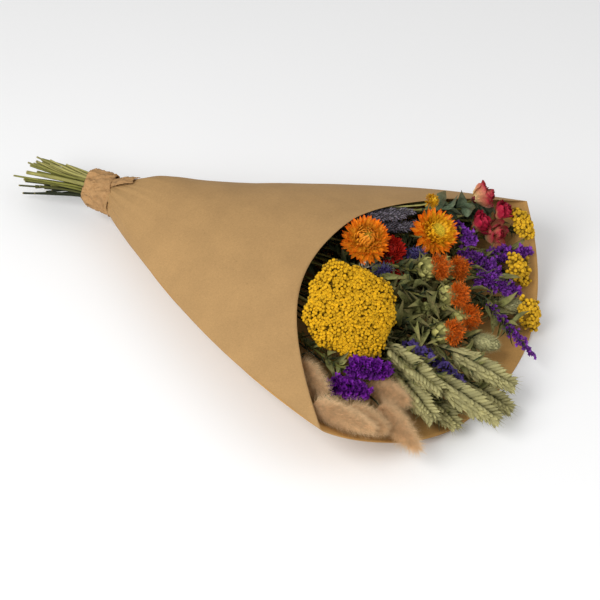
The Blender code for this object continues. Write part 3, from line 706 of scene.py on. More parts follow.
def head_skin(plant, outline, count, spin=0.0, wide=1.0):
    """Even places over a head of the given outline, with their normals and share of length."""
    steps = 260
    along, across = profile(plant, outline, steps, wide)
    across[1:-1] = (across[:-2] + across[1:-1] * 2 + across[2:]) / 4
    rise, grow = np.diff(along), np.diff(across)
    slope = np.hypot(rise, grow)
    area = np.concatenate([[0.0], np.cumsum(slope * (across[1:] + across[:-1]) * 0.5)])
    spot = np.interp((np.arange(count) + 0.5) / count * area[-1], area, np.arange(steps))
    k = np.clip(spot.astype(int), 0, steps - 2)
    radial = spokes(np.arange(count) * GOLDEN + spin, plant.level, plant.up)
    places = (plant.base + np.outer(np.interp(spot, np.arange(steps), along), plant.aim)
              + scale_rows(radial, np.interp(spot, np.arange(steps), across)))
    normals = scale_rows(radial, rise[k] / slope[k]) - np.outer(grow[k] / slope[k], plant.aim)
    return places, normals, spot / (steps - 1.0), radial


def rosette(plant, petal, count, foot, rise, lean, length, width, paint, tones=(0.3, 0.8), wobble=0.1,
            power=1.0, thick=None):
    """Petals in a spiral, from the outside in. foot and rise are shares of the head's radius and
    length, lean is in degrees from the head's axis, length and width are in metres."""
    rng = plant.rng
    share = np.linspace(0.0, 1.0, count)

    def between(pair, power=1.0):
        return pair[0] + (pair[1] - pair[0]) * share ** power

    radial = spokes(np.arange(count) * GOLDEN + rng.normal(0.0, wobble, count), plant.level, plant.up)
    tilt = np.radians(between(lean, power)) + rng.normal(0.0, wobble, count)
    outs = np.outer(np.cos(tilt), plant.aim) + scale_rows(radial, np.sin(tilt))
    inner = np.outer(np.sin(tilt), plant.aim) - scale_rows(radial, np.cos(tilt))
    inner = inner + scale_rows(np.cross(outs, inner), rng.normal(0.0, wobble * 1.5, count))
    centres = plant.along(between(rise)) + scale_rows(radial, between(foot) * plant.radius)
    grown = between(length) * rng.uniform(0.88, 1.12, count)
    across = between(width) * rng.uniform(0.88, 1.12, count)
    sizes = columns(grown if thick is None else thick, across, grown)
    return copies(blade(petal), centres, outs, inner, sizes, rng.uniform(*tones, count), paint)


def stem(plant, into):
    """The stem along its route and into its head, thinner upwards, with low knots."""
    route = plant.points[:plant.stem_end]
    points = smooth_route(np.vstack([route, plant.along(into)]))
    share = np.linspace(0.0, 1.0, len(points))
    radii = plant.stem_radius * (1.0 - 0.08 * share)
    radii = radii * (1.0 + 0.06 * np.sin(share * 61.0 + plant.rng.uniform(0, 6)))
    # The lower a stem's cut end lies in the bunch, the darker its tone: partly real dark green, partly
    # painted shade under the stems above.
    height = (route[0][2] - LOW_CUT) / (HIGH_CUT - LOW_CUT)
    tone = np.clip(height + plant.rng.normal(0.0, 0.08), 0.0, 1.0)
    return tube(points, radii, 7, tone, "dried_stem")


def twig(plant, share, radii, tone=0.4):
    """The stem's last part, straight through the head up to a share of its length."""
    return tube(plant.along(np.linspace(0.0, share, 8)), radii, 6, tone, "dried_stem")


def sprays(plant, leaf, count, length, width, paint, back=0.075, lean=(35.0, 75.0), tones=(0.15, 0.9),
           least=0.012, into=0.0, front=0.004):
    """Leaves along the last stretch of a stem, and into its head, kept clear of the paper."""
    rng = plant.rng
    route = smooth_route(plant.points[plant.stem_end - 5:plant.stem_end], 8)
    if into:
        route = np.vstack([route, plant.along(into)])
    run = np.concatenate([[0.0], np.cumsum(np.linalg.norm(np.diff(route, axis=0), axis=1))])
    wanted = run[-1] - rng.uniform(0.0 if into else front, back + plant.length * into, count)
    wanted = np.clip(wanted, 0.0, run[-1])
    centres = columns(*(np.interp(wanted, run, side) for side in route.T))
    ahead = unit(columns(*(np.interp(wanted, run, np.gradient(side, run)) for side in route.T)))
    angle = rng.uniform(-0.9, math.pi + 0.9, count)
    radial = columns(0.0, np.cos(angle), np.sin(angle))
    tilt = np.radians(rng.uniform(*lean, count))
    outs = scale_rows(ahead, np.cos(tilt)) + scale_rows(radial, np.sin(tilt))
    ups = np.cross(outs, rng.normal(0.0, 1.0, (count, 3)))
    grown = rng.uniform(*length, count)
    kept = []
    for k in range(count):
        centre, out = Vector(centres[k]), Vector(outs[k]).normalized()
        hit = paper_tree.ray_cast(centre, out, grown[k] + CLEAR)
        if hit[3] is not None:
            grown[k] = hit[3] - CLEAR
        while grown[k] > least and paper_tree.find_nearest(centre + out * grown[k], CLEAR)[0]:
            grown[k] *= 0.85
        if grown[k] > least:
            kept.append(k)
    if not kept:
        return []
    sizes = columns(grown, rng.uniform(*width, count), grown)[kept]
    shade = rng.uniform(*tones, count)[kept]
    return [copies(blade(leaf), centres[kept], outs[kept], ups[kept], sizes, shade, paint)]


def core(plant, outline, wide, paint, tone=0.2, sides=12):
    """The solid middle of a head, which closes it behind its petals or florets."""
    steps = 12
    along, across = profile(plant, outline, steps, wide)
    along = np.maximum.accumulate(along + np.arange(steps) * 1e-5)
    return tube(plant.base + np.outer(along, plant.aim), np.maximum(across, 0.3 * MM), sides, tone, paint)


def ruffle(shape, amount, wave, seed):
    """Small wrinkles: every corner moves a little, by waves that run in several directions."""
    rng = np.random.default_rng(seed)
    moved = np.zeros_like(shape.places)
    for _ in range(5):
        run = rng.normal(0.0, 1.0, 3) / wave * 2.4
        start = rng.uniform(0, 6.3)
        moved += np.outer(np.sin(shape.places @ run + start), rng.normal(0.0, 0.45, 3))
    shape.places = shape.places + moved * amount
    return shape


def cloud(places, scale, seed):
    """Smooth noise between about -1 and 1 for every place."""
    rng = np.random.default_rng(seed)
    total = np.zeros(len(places))
    for _ in range(9):
        run = rng.normal(0.0, 1.0, 3)
        run = run / np.linalg.norm(run) * rng.uniform(0.6, 1.5) * FULL_TURN / scale
        total += np.sin(places @ run + rng.uniform(0.0, 6.3))
    return total / 3.0


def crease(places, scale, seed):
    """Noise with sharp valleys, as crumpled paper has."""
    return 1.0 - 2.0 * np.abs(np.clip(cloud(places, scale, seed), -1.0, 1.0))


def spaced_out(places, normals, least, rounds=14):
    """Moves places that stand closer than least apart, along the head's surface."""
    for _ in range(rounds):
        tree = KDTree(len(places))
        for k, place in enumerate(places):
            tree.insert(place, k)
        tree.balance()
        moves = np.zeros_like(places)
        for k, place in enumerate(places):
            for near, other, gap in tree.find_range(place, least):
                if other != k and gap > 1e-7:
                    moves[k] += (place - np.array(near)) / gap * (least - gap) * 0.45
        moves -= scale_rows(normals, np.sum(moves * normals, axis=1))
        places = places + moves
    return places


# ---- the flowers ----
def filler(plant, count, paint="olive_leaf", long=0.026, back=0.085, into=0.0):
    """Narrow leaves and thin twigs that fill the mouth round the stem under a head."""
    made = sprays(plant, "leaf_blade", count, (0.010, long), (0.0022, 0.0055), paint, back, (18.0, 70.0),
                  (0.15, 0.9), 0.008, into)
    made += sprays(plant, "pointed_bract", count * 2, (0.006, long * 0.8), (0.0007, 0.0017), "dark_leaf",
                   back, (15.0, 65.0), (0.2, 1.0), 0.005, into)
    return [ruffle(shape, 0.9 * MM, 9.0 * MM, plant.seed + count) for shape in made]


def pebbled_head(plant, outline, spacing, clusters, paint, crack, lobes, floret, squeeze):
    """A head of very many tiny florets, in clusters with narrow sunk gaps between them, painted darker as
    shade.
    """
    rng = plant.rng
    count = int(4.6 * plant.radius ** 2 / (0.80 * spacing ** 2))
    places, normals, _, radial = head_skin(plant, outline, count)
    places = spaced_out(places + rng.normal(0.0, spacing * 0.33, places.shape), normals, spacing * 0.93)
    across = (places - plant.base) @ np.stack([plant.level, plant.up], axis=1)
    angle = np.arctan2(across[:, 1], across[:, 0])
    away = np.hypot(across[:, 0], across[:, 1]) / plant.radius
    swell = lobes * (np.sin(angle * 9 + 0.6) * 0.5 + np.sin(angle * 4 + 2.2) * 0.8) * away ** 2
    places = places + scale_rows(radial, swell * plant.radius)
    places = places + np.outer(across[:, 0] * (squeeze[0] - 1.0), plant.level)
    places = places + np.outer(across[:, 1] * (squeeze[1] - 1.0), plant.up)
    k = np.arange(clusters)
    centres = spokes(k * GOLDEN + 0.4, (1.0, 0.0), (0.0, 1.0))
    centres = scale_rows(centres, plant.radius * 0.97 * np.sqrt((k + 0.5) / clusters))
    centres += rng.normal(0.0, plant.radius * 0.035, centres.shape)
    nearest = np.sort(np.linalg.norm(across[:, None, :] - centres[None, :, :], axis=2), axis=1)
    gap = np.clip(1.0 - (nearest[:, 1] - nearest[:, 0]) / crack, 0.0, 1.0)
    gap = gap * np.clip(0.55 + cloud(places, plant.radius * 0.9, 6) * 0.8, 0.0, 1.0)
    sunk = gap ** 1.5 * crack * 0.60 + np.clip(nearest[:, 0] / plant.radius * 4.0, 0, 1) ** 2 * 0.9 * MM
    places = places - scale_rows(normals, sunk)
    kept = rng.random(len(places)) > gap ** 2 * 0.30
    places, normals, gap = places[kept], normals[kept], gap[kept]
    count = len(places)
    normals = normals + rng.normal(0.0, 0.15, normals.shape)
    places = places + scale_rows(normals, rng.uniform(-0.22, 0.22, count)) * spacing
    wide = spacing * floret * rng.uniform(0.84, 1.14, count)
    # Florets in the gaps between clusters get darker tones: painted shade in the cracks.
    tones = np.clip(rng.normal(0.62, 0.20, count) - gap * 0.25, 0.0, 1.0)
    shapes = [copies(tiny_floret(), places - normals * spacing * 0.6, normals, plant.aim,
                     columns(wide, wide, wide * 1.15), tones, paint)]
    foot = plant.along(0.12)
    stalks = places - normals * spacing * 0.3
    ways = foot + (stalks - foot) * 0.62 - stalks
    reach = np.minimum(np.linalg.norm(ways, axis=1), plant.radius * 0.42)
    shapes.append(hairs(plant, stalks, ways, 0.28 * MM, reach, rng.uniform(0.1, 0.7, count),
                        "umbel_branch"))
    shapes.append(core(plant, DOME_CORE, 0.94, "floret_core", 0.3, 24))
    return shapes, centres, foot


def yarrow(plant, spacing):
    """The large flat yarrow head, on branches that rise from its stem."""
    shapes, centres, foot = pebbled_head(plant, DOME_TOP, spacing, 19, "yarrow_floret", 2.4 * MM, 0.065,
                                         1.16, (0.92, 1.0))
    for across in centres:
        end = plant.along(0.60) + plant.level * across[0] * 0.9 + plant.up * across[1] * 0.9
        bend = foot + (end - foot) * 0.45 - plant.aim * plant.length * 0.06
        shapes.append(tube(smooth_route(np.array([foot, bend, end])), 0.8 * MM, 6, 0.5, "umbel_branch"))
    return shapes


def tansy(plant):
    """A small head of coarser florets, in a few rounded clusters."""
    shapes, _, _ = pebbled_head(plant, CROWN, 2.7 * MM, 5, "tansy_floret", 1.4 * MM, 0.16, 1.34,
                                (0.85, 1.22))
    return shapes + filler(plant, 34, "dark_leaf", 0.024, 0.06)


def strawflower(plant, outer, inner, disc, open_wide=False, small=False):
    """Papery bracts in a dense spiral round a disc of tiny florets."""
    size = plant.radius
    slim = size * (1.25 if small else 1.0)
    inner_lean, inner_reach = ((58.0, 36.0), (0.54, 0.30)) if open_wide else ((62.0, -8.0), (0.60, 0.40))
    shapes = [rosette(plant, "pointed_bract", 70 if small else 130, (0.42, 0.42), (0.06, 0.40),
                      (104.0, 52.0 if open_wide else 46.0), (size * 0.66, size * 0.62),
                      (slim * 0.20, slim * 0.15), outer, (0.25, 1.0), 0.12, 0.85),
              rosette(plant, "curled_bract", 60 if small else 150, (0.44, 0.26), (0.36, 0.62), inner_lean,
                      np.multiply(inner_reach, size), (slim * 0.14, slim * 0.10), inner, (0.3, 1.0), 0.12)]
    places, normals, _, _ = head_skin(plant, DISC, 70 if small else 190, 0.0, 0.33)
    tones = plant.rng.uniform(0.1, 1.0, len(places))
    shapes.append(copies(small_bead(), places, normals, plant.aim, size * 0.034, tones, disc))
    shapes.append(core(plant, DISC_CORE, 0.42, inner, 0.2, 14))
    if plant.node == "strawflower_yellow":
        return shapes
    return shapes + sprays(plant, "leaf_blade", 16, (0.016, 0.028), (0.004, 0.009), "dark_leaf", front=0.024)


def rose(plant, paint):
    """A dried rosebud: crumpled petals wound tightly, with five sepals under them."""
    plant.radius *= 0.88
    size, high = plant.radius, plant.length
    petals = rosette(plant, "wide_petal", 30, (0.32, 0.03), (0.04, 0.24), (30.0, 0.0),
                     (high * 0.74, high * 0.62), (size * 1.45, size * 0.75), paint, (0.1, 1.0), 0.22, 0.8,
                     size * 0.85)
    ruffle(petals, size * 0.085, size * 0.42, plant.seed)
    ruffle(petals, size * 0.035, size * 0.16, plant.seed + 1)
    sepals = rosette(plant, "pointed_bract", 5, (0.20, 0.20), (0.0, 0.02), (72.0, 60.0),
                     (size * 0.95, size * 0.95), (size * 0.34, size * 0.34), "grey_green_leaf",
                     (0.3, 0.6), 0.2)
    return [petals, sepals, core(plant, ROSE_CORE, 0.44, "dark_rose_petal", 0.1, 10)]


def cream_bud(plant):
    """A small closed bud of cream bracts."""
    high, size = plant.length, plant.radius
    petals = rosette(plant, "wide_petal", 30, (0.30, 0.05), (0.0, 0.35), (34.0, 2.0),
                     (high * 0.8, high * 0.6), (size * 1.1, size * 0.6), "cream_bract", (0.3, 1.0), 0.12,
                     1.0, size * 0.8)
    return [petals, core(plant, ROUND, 0.5, "cream_bract", 0.3, 8)]


def lavender(plant):
    """Whorls of downy calyces up a thin stem."""
    rng = plant.rng
    places, normals, share, _ = head_skin(plant, LONG, 210, 0.0, 0.66)
    places = places + scale_rows(normals, np.sin(share * FULL_TURN * 7.0) * 0.7 * MM)
    outs = normals * 0.75 + plant.aim * 0.85 + rng.normal(0.0, 0.20, places.shape)
    grown = rng.uniform(2.6, 4.2, len(places)) * MM
    shapes = [copies(husk(), places - normals * 1.2 * MM, outs, plant.aim, grown,
                     rng.uniform(0.0, 1.0, len(places)), "lavender_calyx")]
    places, normals, _, _ = head_skin(plant, LONG, 260, 0.0, 0.85)
    outs = normals + plant.aim * 0.5 + rng.normal(0.0, 0.4, places.shape)
    grown = np.full(len(places), 2.2 * MM)
    shapes.append(hairs(plant, places, outs, 0.10 * MM, grown, rng.uniform(0.5, 1.0, len(places)),
                        "lavender_calyx"))
    shapes.append(core(plant, LONG, 0.35, "lavender_calyx", 0.0, 8))
    return shapes


def thistle(plant):
    """A blue thistle-like head: stiff pale-tipped spines and dark petals between them."""
    rng = plant.rng
    places, normals, _, _ = head_skin(plant, ROUND, 170, 0.0, 0.42)
    count = len(places)
    outs = normals + plant.aim * 0.45 + rng.normal(0.0, 0.30, places.shape)
    thick = rng.uniform(0.28, 0.55, count) * MM
    grown = rng.uniform(3.5, 7.0, count) * MM
    shapes = [hairs(plant, places, outs, thick, grown, rng.uniform(0.1, 1.0, count), "thistle_spine")]
    size = plant.radius
    shapes.append(rosette(plant, "small_petal", 46, (0.15, 0.10), (0.10, 0.75), (85.0, 20.0),
                          (size * 0.95, size * 0.7), (size * 0.45, size * 0.3), "indigo_petal",
                          (0.1, 1.0), 0.25))
    shapes.append(core(plant, ROUND, 0.42, "indigo_petal", 0.1, 10))
    return shapes + sprays(plant, "leaf_blade", 14, (0.016, 0.030), (0.004, 0.008), "dark_leaf")


def larkspur(plant):
    """A loose spike of small dark flowers."""
    rng = plant.rng
    places, normals, share, _ = head_skin(plant, LONG, 17, 0.5, 0.50)
    count = len(places)
    outs = normals + plant.aim * 0.45 + rng.normal(0.0, 0.25, places.shape)
    sizes = plant.radius * (1.55 - 0.55 * share) * rng.uniform(0.85, 1.1, count)
    shapes = [copies(five_petals(), places, outs, plant.aim, sizes, rng.uniform(0.0, 1.0, count),
                     "indigo_petal"),
              copies(five_petals(), places + outs * 0.9 * MM, outs, normals, sizes * 0.62,
                     rng.uniform(0.4, 1.0, count), "indigo_petal"),
              twig(plant, 0.95, 0.7 * MM)]
    ruffle(shapes[0], 0.8 * MM, 3.0 * MM, plant.seed)
    return shapes + filler(plant, 34)


def statice(plant, paint, count, cup, wide):
    """Papery cups crowded along a branched head."""
    rng = plant.rng
    places, normals, share, _ = head_skin(plant, LONG, count, 0.0, wide)
    lump = np.sin(share * 31.0 + 1.3) * 0.8 + np.sin(share * 57.0) * 0.5
    places = places + scale_rows(normals, lump * 0.9 * MM) + rng.normal(0.0, 0.9 * MM, places.shape)
    outs = normals * 0.8 + plant.aim * 0.75 + rng.normal(0.0, 0.38, places.shape)
    sizes = cup * rng.uniform(0.75, 1.15, count)
    cups = copies(papery_cup(), places - normals * cup * 0.45, outs, rng.normal(0.0, 1.0, places.shape),
                  sizes, rng.uniform(0.0, 1.0, count), paint)
    ruffle(cups, 0.28 * MM, 2.2 * MM, plant.seed)
    twigs = plant.along(rng.uniform(0.0, 0.8, 26))
    ways = places[rng.integers(0, count, 26)] - twigs
    return [cups, core(plant, LONG, 0.26, "dark_leaf", 0.3, 8),
            hairs(plant, twigs, ways, 0.45 * MM, np.linalg.norm(ways, axis=1), 0.4, "olive_leaf")]


def safflower(plant):
    """A green bud of overlapping bracts with a tuft of orange threads."""
    rng = plant.rng
    size, high = plant.radius, plant.length
    shapes = [rosette(plant, "bud_bract", 46, (0.56, 0.42), (-0.08, 0.32), (50.0, -10.0),
                      (high * 0.40, high * 0.33), (size * 0.74, size * 0.52), "green_bract", (0.2, 1.0),
                      0.14, 0.8, size * 2.2),
              core(plant, BUD_CORE, 0.90, "green_bract", 0.3, 20)]
    count = 330
    tilt = np.radians(86.0) * rng.random(count) ** 0.6
    angle = rng.uniform(0.0, FULL_TURN, count)
    face = plant.aim + (0.15, -0.30, 0.38)
    face = face / np.linalg.norm(face)
    radial = spokes(angle, *side_axes(face))
    feet = plant.along(0.52) + scale_rows(radial, size * 0.34 * np.sqrt(rng.random(count)))
    outs = np.outer(np.cos(tilt), face) + scale_rows(radial, np.sin(tilt))
    outs = outs + rng.normal(0.0, 0.12, outs.shape)
    grown = high * (0.27 + 0.14 * np.cos(tilt)) * rng.uniform(0.82, 1.12, count)
    thick = rng.uniform(0.26, 0.44, count) * MM
    tones = rng.uniform(0.0, 1.0, count)
    shapes.append(hairs(plant, feet, outs, thick, grown, tones, "safflower_thread"))
    tips = feet + scale_rows(outs, grown)
    for _ in range(2):
        flared = outs + rng.normal(0.0, 0.40, outs.shape)
        sizes = columns(2.0, 0.55, rng.uniform(2.2, 3.6, count)) * MM
        shapes.append(copies(blade("pointed_bract"), tips - outs * 2.0 * MM, flared, radial, sizes, tones,
                             "safflower_thread"))
    shapes.append(rosette(plant, "curled_leaf", 11, (0.30, 0.30), (-0.05, 0.05), (88.0, 40.0),
                          (size * 1.45, size * 1.1), (size * 0.66, size * 0.5), "olive_leaf",
                          (0.2, 0.8), 0.25))
    shapes += sprays(plant, "curled_leaf", 16, (0.014, 0.026), (0.006, 0.011), "olive_leaf")
    return shapes + filler(plant, 24, "dark_leaf")


def leafy_spray(plant, leaf, count, length, width, paint, lean, loose):
    """Leaves set spirally along the head's whole length."""
    leaves = rosette(plant, leaf, count, (0.10, 0.05), (0.0, 0.78), lean, length, width, paint, (0.1, 0.95),
                     loose)
    ruffle(leaves, plant.radius * 0.09, plant.radius * 0.9, plant.seed)
    return [leaves, twig(plant, 0.8, np.linspace(1.0, 0.5, 8) * MM)]


# Husks of a spikelet: how far each leans out, how far it fans sideways, and its size.
HUSKS = ((0.62, -0.60, 0.86), (0.62, 0.60, 0.86), (0.48, -0.20, 1.0), (0.48, 0.20, 1.0))


def wheat_ear(plant, turn):
    """Spikelets in two rows, each of four husks, with short awns."""
    rng = plant.rng
    side = plant.level * math.cos(turn) + plant.up * math.sin(turn)
    over = np.cross(plant.aim, side)
    pairs = int(plant.length / (4.3 * MM))
    feet, outs, sizes = [], [], []
    for k in range(pairs * 2):
        share = (k + 0.2) / (pairs * 2)
        way = 1.0 if k % 2 else -1.0
        full = plant.radius * (0.88 + 0.46 * math.sin(math.pi * min(share * 1.05 + 0.12, 1.0)))
        foot = plant.along(share * 0.90) + side * way * full * 0.16
        for lean, fan, far in HUSKS:
            feet.append(foot + over * fan * full * 0.35)
            outs.append(plant.aim + side * way * lean + over * fan + rng.normal(0.0, 0.05, 3))
            sizes.append(full * 1.85 * far * rng.uniform(0.92, 1.08))
    for fan in (-0.3, 0.0, 0.3):
        feet.append(plant.along(0.86))
        outs.append(plant.aim + over * fan)
        sizes.append(plant.radius * 1.35)
    feet, outs, sizes = np.array(feet), unit(np.array(outs)), np.array(sizes)
    tones = rng.uniform(0.15, 1.0, len(feet))
    shapes = [copies(husk(), feet, outs, over, columns(sizes * 0.92, sizes * 1.06, sizes), tones,
                     "wheat_husk")]
    tops = feet + scale_rows(outs, sizes * 0.97)
    grown = rng.uniform(2.0, 6.5, len(feet)) * MM
    awns = outs + plant.aim * 0.5 + rng.normal(0.0, 0.12, outs.shape)
    shapes.append(copies(hair(), tops, awns, over, columns(0.17 * MM, 0.17 * MM, grown), tones, "wheat_awn"))
    shapes.append(tube(plant.along(np.linspace(0.0, 0.9, 10)), 1.1 * MM, 6, 0.75, "dried_stem"))
    shapes += sprays(plant, "long_leaf", 3, (0.035, 0.060), (0.0022, 0.0042), "wheat_husk", 0.05,
                     (5.0, 16.0), (0.1, 0.7), 0.025)
    return shapes + filler(plant, 40, "olive_leaf", 0.026, 0.085, 0.55)


def canary_grass(plant):
    """Flat pointed scales that overlap like tiles, under fine hairs."""
    rng = plant.rng
    places, normals, _, _ = head_skin(plant, ROUND, 210, 0.0, 0.84)
    outs = normals * 0.42 + plant.aim + rng.normal(0.0, 0.09, places.shape)
    sizes = columns(3.2, 2.7, rng.uniform(4.2, 5.6, len(places))) * MM
    shapes = [copies(blade("pointed_bract"), places - normals * 0.3 * MM, outs, -normals, sizes,
                     rng.uniform(0.0, 1.0, len(places)), "canary_grass_scale")]
    places, normals, _, _ = head_skin(plant, ROUND, 1500, 1.0, 0.80)
    outs = normals * 0.70 + plant.aim + rng.normal(0.0, 0.26, places.shape)
    grown = rng.uniform(3.0, 7.5, len(places)) * MM
    shapes.append(hairs(plant, places, outs, 0.15 * MM, grown, rng.uniform(0.3, 1.0, len(places)),
                        "canary_grass_scale"))
    shapes.append(core(plant, ROUND, 0.80, "canary_grass_scale", 0.2, 12))
    return shapes + filler(plant, 48, "olive_leaf", 0.026, 0.085, 0.2)


def bunny_tail(plant, count):
    """An oval head covered in very fine soft hairs that lean to its tip."""
    rng = plant.rng
    places, normals, share, _ = head_skin(plant, TAIL, count, 0.0, 0.56)
    comb = rng.normal(0.0, 0.40, places.shape)
    outs = normals * 0.62 + np.outer(0.76 + 0.6 * share, plant.aim) + comb
    grown = rng.uniform(0.55, 1.60, count) * plant.radius * (1.05 - 0.25 * share)
    thick = rng.uniform(0.07, 0.13, count) * MM
    return [hairs(plant, places, outs, thick, grown, rng.uniform(0.0, 1.0, count), "bunny_tail_hair"),
            core(plant, TAIL, 0.60, "bunny_tail_core", 0.6, 14)]


# ---- the paper ----
def merged_copy(node, name):
    """A merged copy of a CAD node's mesh, in faces of four corners where they fit."""
    piece = bpy.data.objects.new(name, frame["nodes"][node].data.copy())
    bpy.context.scene.collection.objects.link(piece)
    pick(piece)
    bpy.ops.object.mode_set(mode="EDIT")
    bpy.ops.mesh.select_all(action="SELECT")
    bpy.ops.mesh.remove_doubles(threshold=0.00001)
    bpy.ops.mesh.tris_convert_to_quads(face_threshold=0.7, shape_threshold=1.2)
    bpy.ops.object.mode_set(mode="OBJECT")
    piece.data.materials.clear()
    return piece


def apply_modifier(piece, kind, **values):
    modifier = piece.modifiers.new(kind.lower(), kind)
    for label, value in values.items():
        setattr(modifier, label, value)
    pick(piece)
    bpy.ops.object.modifier_apply(modifier=modifier.name)


def mesh_arrays(mesh):
    """Places and normals of a mesh's corners."""
    made = []
    for source, label in ((mesh.vertices, "co"), (mesh.vertex_normals, "vector")):
        values = np.empty(len(mesh.vertices) * 3)
        source.foreach_get(label, values)
        made.append(values.reshape(-1, 3))
    return made


def put_back(piece, places, paints):
    """Puts moved corners back in a piece's mesh, none of them under the floor."""
    places[:, 2] = np.maximum(places[:, 2], 0.0)
    piece.data.vertices.foreach_set("co", places.ravel())
    for paint in paints:
        piece.data.materials.append(PAINTS[paint])


def outer_faces(piece, middle):
    """Keeps the outer side of a wall: the faces that look away from the wall's middle."""
    pick(piece)
    bpy.ops.object.mode_set(mode="EDIT")
    bpy.ops.mesh.select_mode(type="FACE")
    bpy.ops.mesh.select_all(action="DESELECT")
    shape = bmesh.from_edit_mesh(piece.data)
    for face in shape.faces:
        centre = face.calc_center_median()
        outside = (centre - middle(centre.x)).dot(face.normal) > 0.0
        face.select_set(not outside or min(edge.calc_length() for edge in face.edges) < 1.0 * MM)
    bmesh.update_edit_mesh(piece.data)
    bpy.ops.mesh.delete(type="FACE")
    bpy.ops.object.mode_set(mode="OBJECT")


def sharpen(mesh, start):
    """Creases the folds past a place along the sleeve, so that they stay sharp when smoothed."""
    shape = bmesh.new()
    shape.from_mesh(mesh)
    sharpness = shape.edges.layers.float.new("crease_edge")
    for edge in shape.edges:
        if len(edge.link_faces) == 2 and edge.calc_face_angle() > math.radians(38.0):
            if min(vertex.co.x for vertex in edge.verts) > start:
                edge[sharpness] = 0.85
    shape.to_mesh(mesh)
    shape.free()


# Single folds that run from the neck: where round it, width, height in mm, and how far they reach.
RIDGES = ((1.25, 0.10, 1.5, 0.075), (1.75, 0.07, 1.0, 0.060), (2.45, 0.09, 0.9, 0.050),
          (-2.85, 0.10, 0.8, 0.060))
BIN = 0.02


def sleeve_piece(paper):
    """The kraft sleeve: the frame's outer sheet, folded sharply at its sides, pleated where it is
    gathered at the neck, and slightly wavy towards its open mouth."""
    piece = merged_copy("kraft_wrapper", "kraft_sleeve")
    places, _ = mesh_arrays(piece.data)
    strip = np.array(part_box("neck_paper_band"))
    edge = strip[1, 0]
    bins = np.arange(places[:, 0].min(), places[:, 0].max() + BIN, BIN)
    rows = []
    for start in bins:
        near = places[np.abs(places[:, 0] - start) < BIN * 0.8]
        near = near if len(near) else places
        rows.append((np.abs(near[:, 1]).max(), near[:, 2].min(), near[:, 2].max()))
    half, low, high = np.transpose(rows)

    def height(x):
        return (np.interp(x, bins, low) + np.interp(x, bins, high)) * 0.5

    outer_faces(piece, lambda x: Vector((x, 0.0, height(x))))
    sharpen(piece.data, strip[:, 0].mean() + 0.03)
    apply_modifier(piece, "SUBSURF", levels=3, render_levels=3)
    places, normals = mesh_arrays(piece.data)
    x = places[:, 0]
    past = x - edge
    gone = np.clip(past / 0.16, 0.0, 1.0)
    covered = np.clip((past - 1.0 * MM) / 0.008, 0.0, 1.0)
    deep = np.maximum((np.interp(x, bins, high) - np.interp(x, bins, low)) * 0.5, 0.1 * MM)
    around = np.arctan2((places[:, 2] - height(x)) / deep, places[:, 1] / np.interp(x, bins, half))
    rays = columns(np.cos(around), np.sin(around), x) * 0.05
    pleats = crease(rays, 0.045, 21) + 0.6 * crease(rays, 0.02, 5) * (1.0 - gone)
    push = pleats * (1.0 - gone) ** 2.2 * covered * paper.crease_depth
    push += cloud(places, 0.16, 8) * 0.55 * MM * gone
    push += crease(places * (0.4, 1.0, 1.0), 0.11, 31) * 0.22 * MM * np.clip(gone * 1.5, 0.0, 1.0)
    back_side = np.exp(-((around - 1.0) / 0.55) ** 2)
    push -= 3.0 * MM * back_side * np.exp(-((past - 0.014) / 0.013) ** 2)
    push += 2.4 * MM * back_side * np.exp(-((past - 0.044) / 0.020) ** 2)
    for spot, width, rise, reach in RIDGES:
        ridge = np.clip(1.0 - np.abs(around - spot - past * 2.0) / width, 0.0, 1.0)
        push += ridge * rise * MM * covered * np.clip(1.0 - past / reach, 0.0, 1.0)
    rim = np.clip((x - (x.max() - 0.16)) / 0.12, 0.0, 1.0)
    push += np.sin(places[:, 1] * 62.0 + 0.9) * 0.5 * MM * rim
    put_back(piece, places + scale_rows(normals, push), ("kraft_paper", "kraft_paper_inside"))
    apply_modifier(piece, "SOLIDIFY", thickness=paper.thickness, offset=-1.0, material_offset=1)
    piece.data.shade_smooth()
    return piece


def over_sleeve(x, across, height, reach, cover):
    """A place over the sleeve, seen from the neck's axis: at least cover outside its paper."""
    foot = Vector((x, 0.0, height))
    ray = Vector((0.0, *across)).normalized()
    hit = paper_tree.ray_cast(foot, ray, 0.08)
    if hit[3] is not None:
        reach = max(reach, hit[3] + 0.6 * MM + cover)
    return foot + ray * reach


def fold_piece(right, height, paper):
    """The loose end of the strip: a small sheet folded lengthwise that lies on the sleeve."""
    start_clean()
    bpy.ops.mesh.primitive_grid_add(x_subdivisions=26, y_subdivisions=18, size=2.0)
    piece = bpy.context.object
    piece.name = "loose_end"
    places, _ = mesh_arrays(piece.data)
    for k, (u, v, _) in enumerate(places):
        along = (u + 1.0) * 0.5
        angle = 1.72 + v * (0.44 - 0.22 * along) - 0.34 * along
        lift = 0.9 * MM + 1.5 * MM * math.sin(math.pi * along) * (1.0 - v * v)
        lift += 1.1 * MM * abs(math.sin(2.4 * math.pi * v + 1.5 * along)) * (1.0 - 0.5 * along)
        places[k] = over_sleeve(right - 7.0 * MM + along * 28.0 * MM + v * v * 3.0 * MM,
                                (math.cos(angle), math.sin(angle)), height, 0.0, lift)
    places += np.outer(crease(places, 7.0 * MM, 14), (0.0, 0.3, 1.0)) * 0.35 * MM
    put_back(piece, places, ())
    apply_modifier(piece, "SOLIDIFY", thickness=paper.thickness, offset=0.0)
    piece.data.materials.append(PAINTS["crumpled_paper"])
    return piece


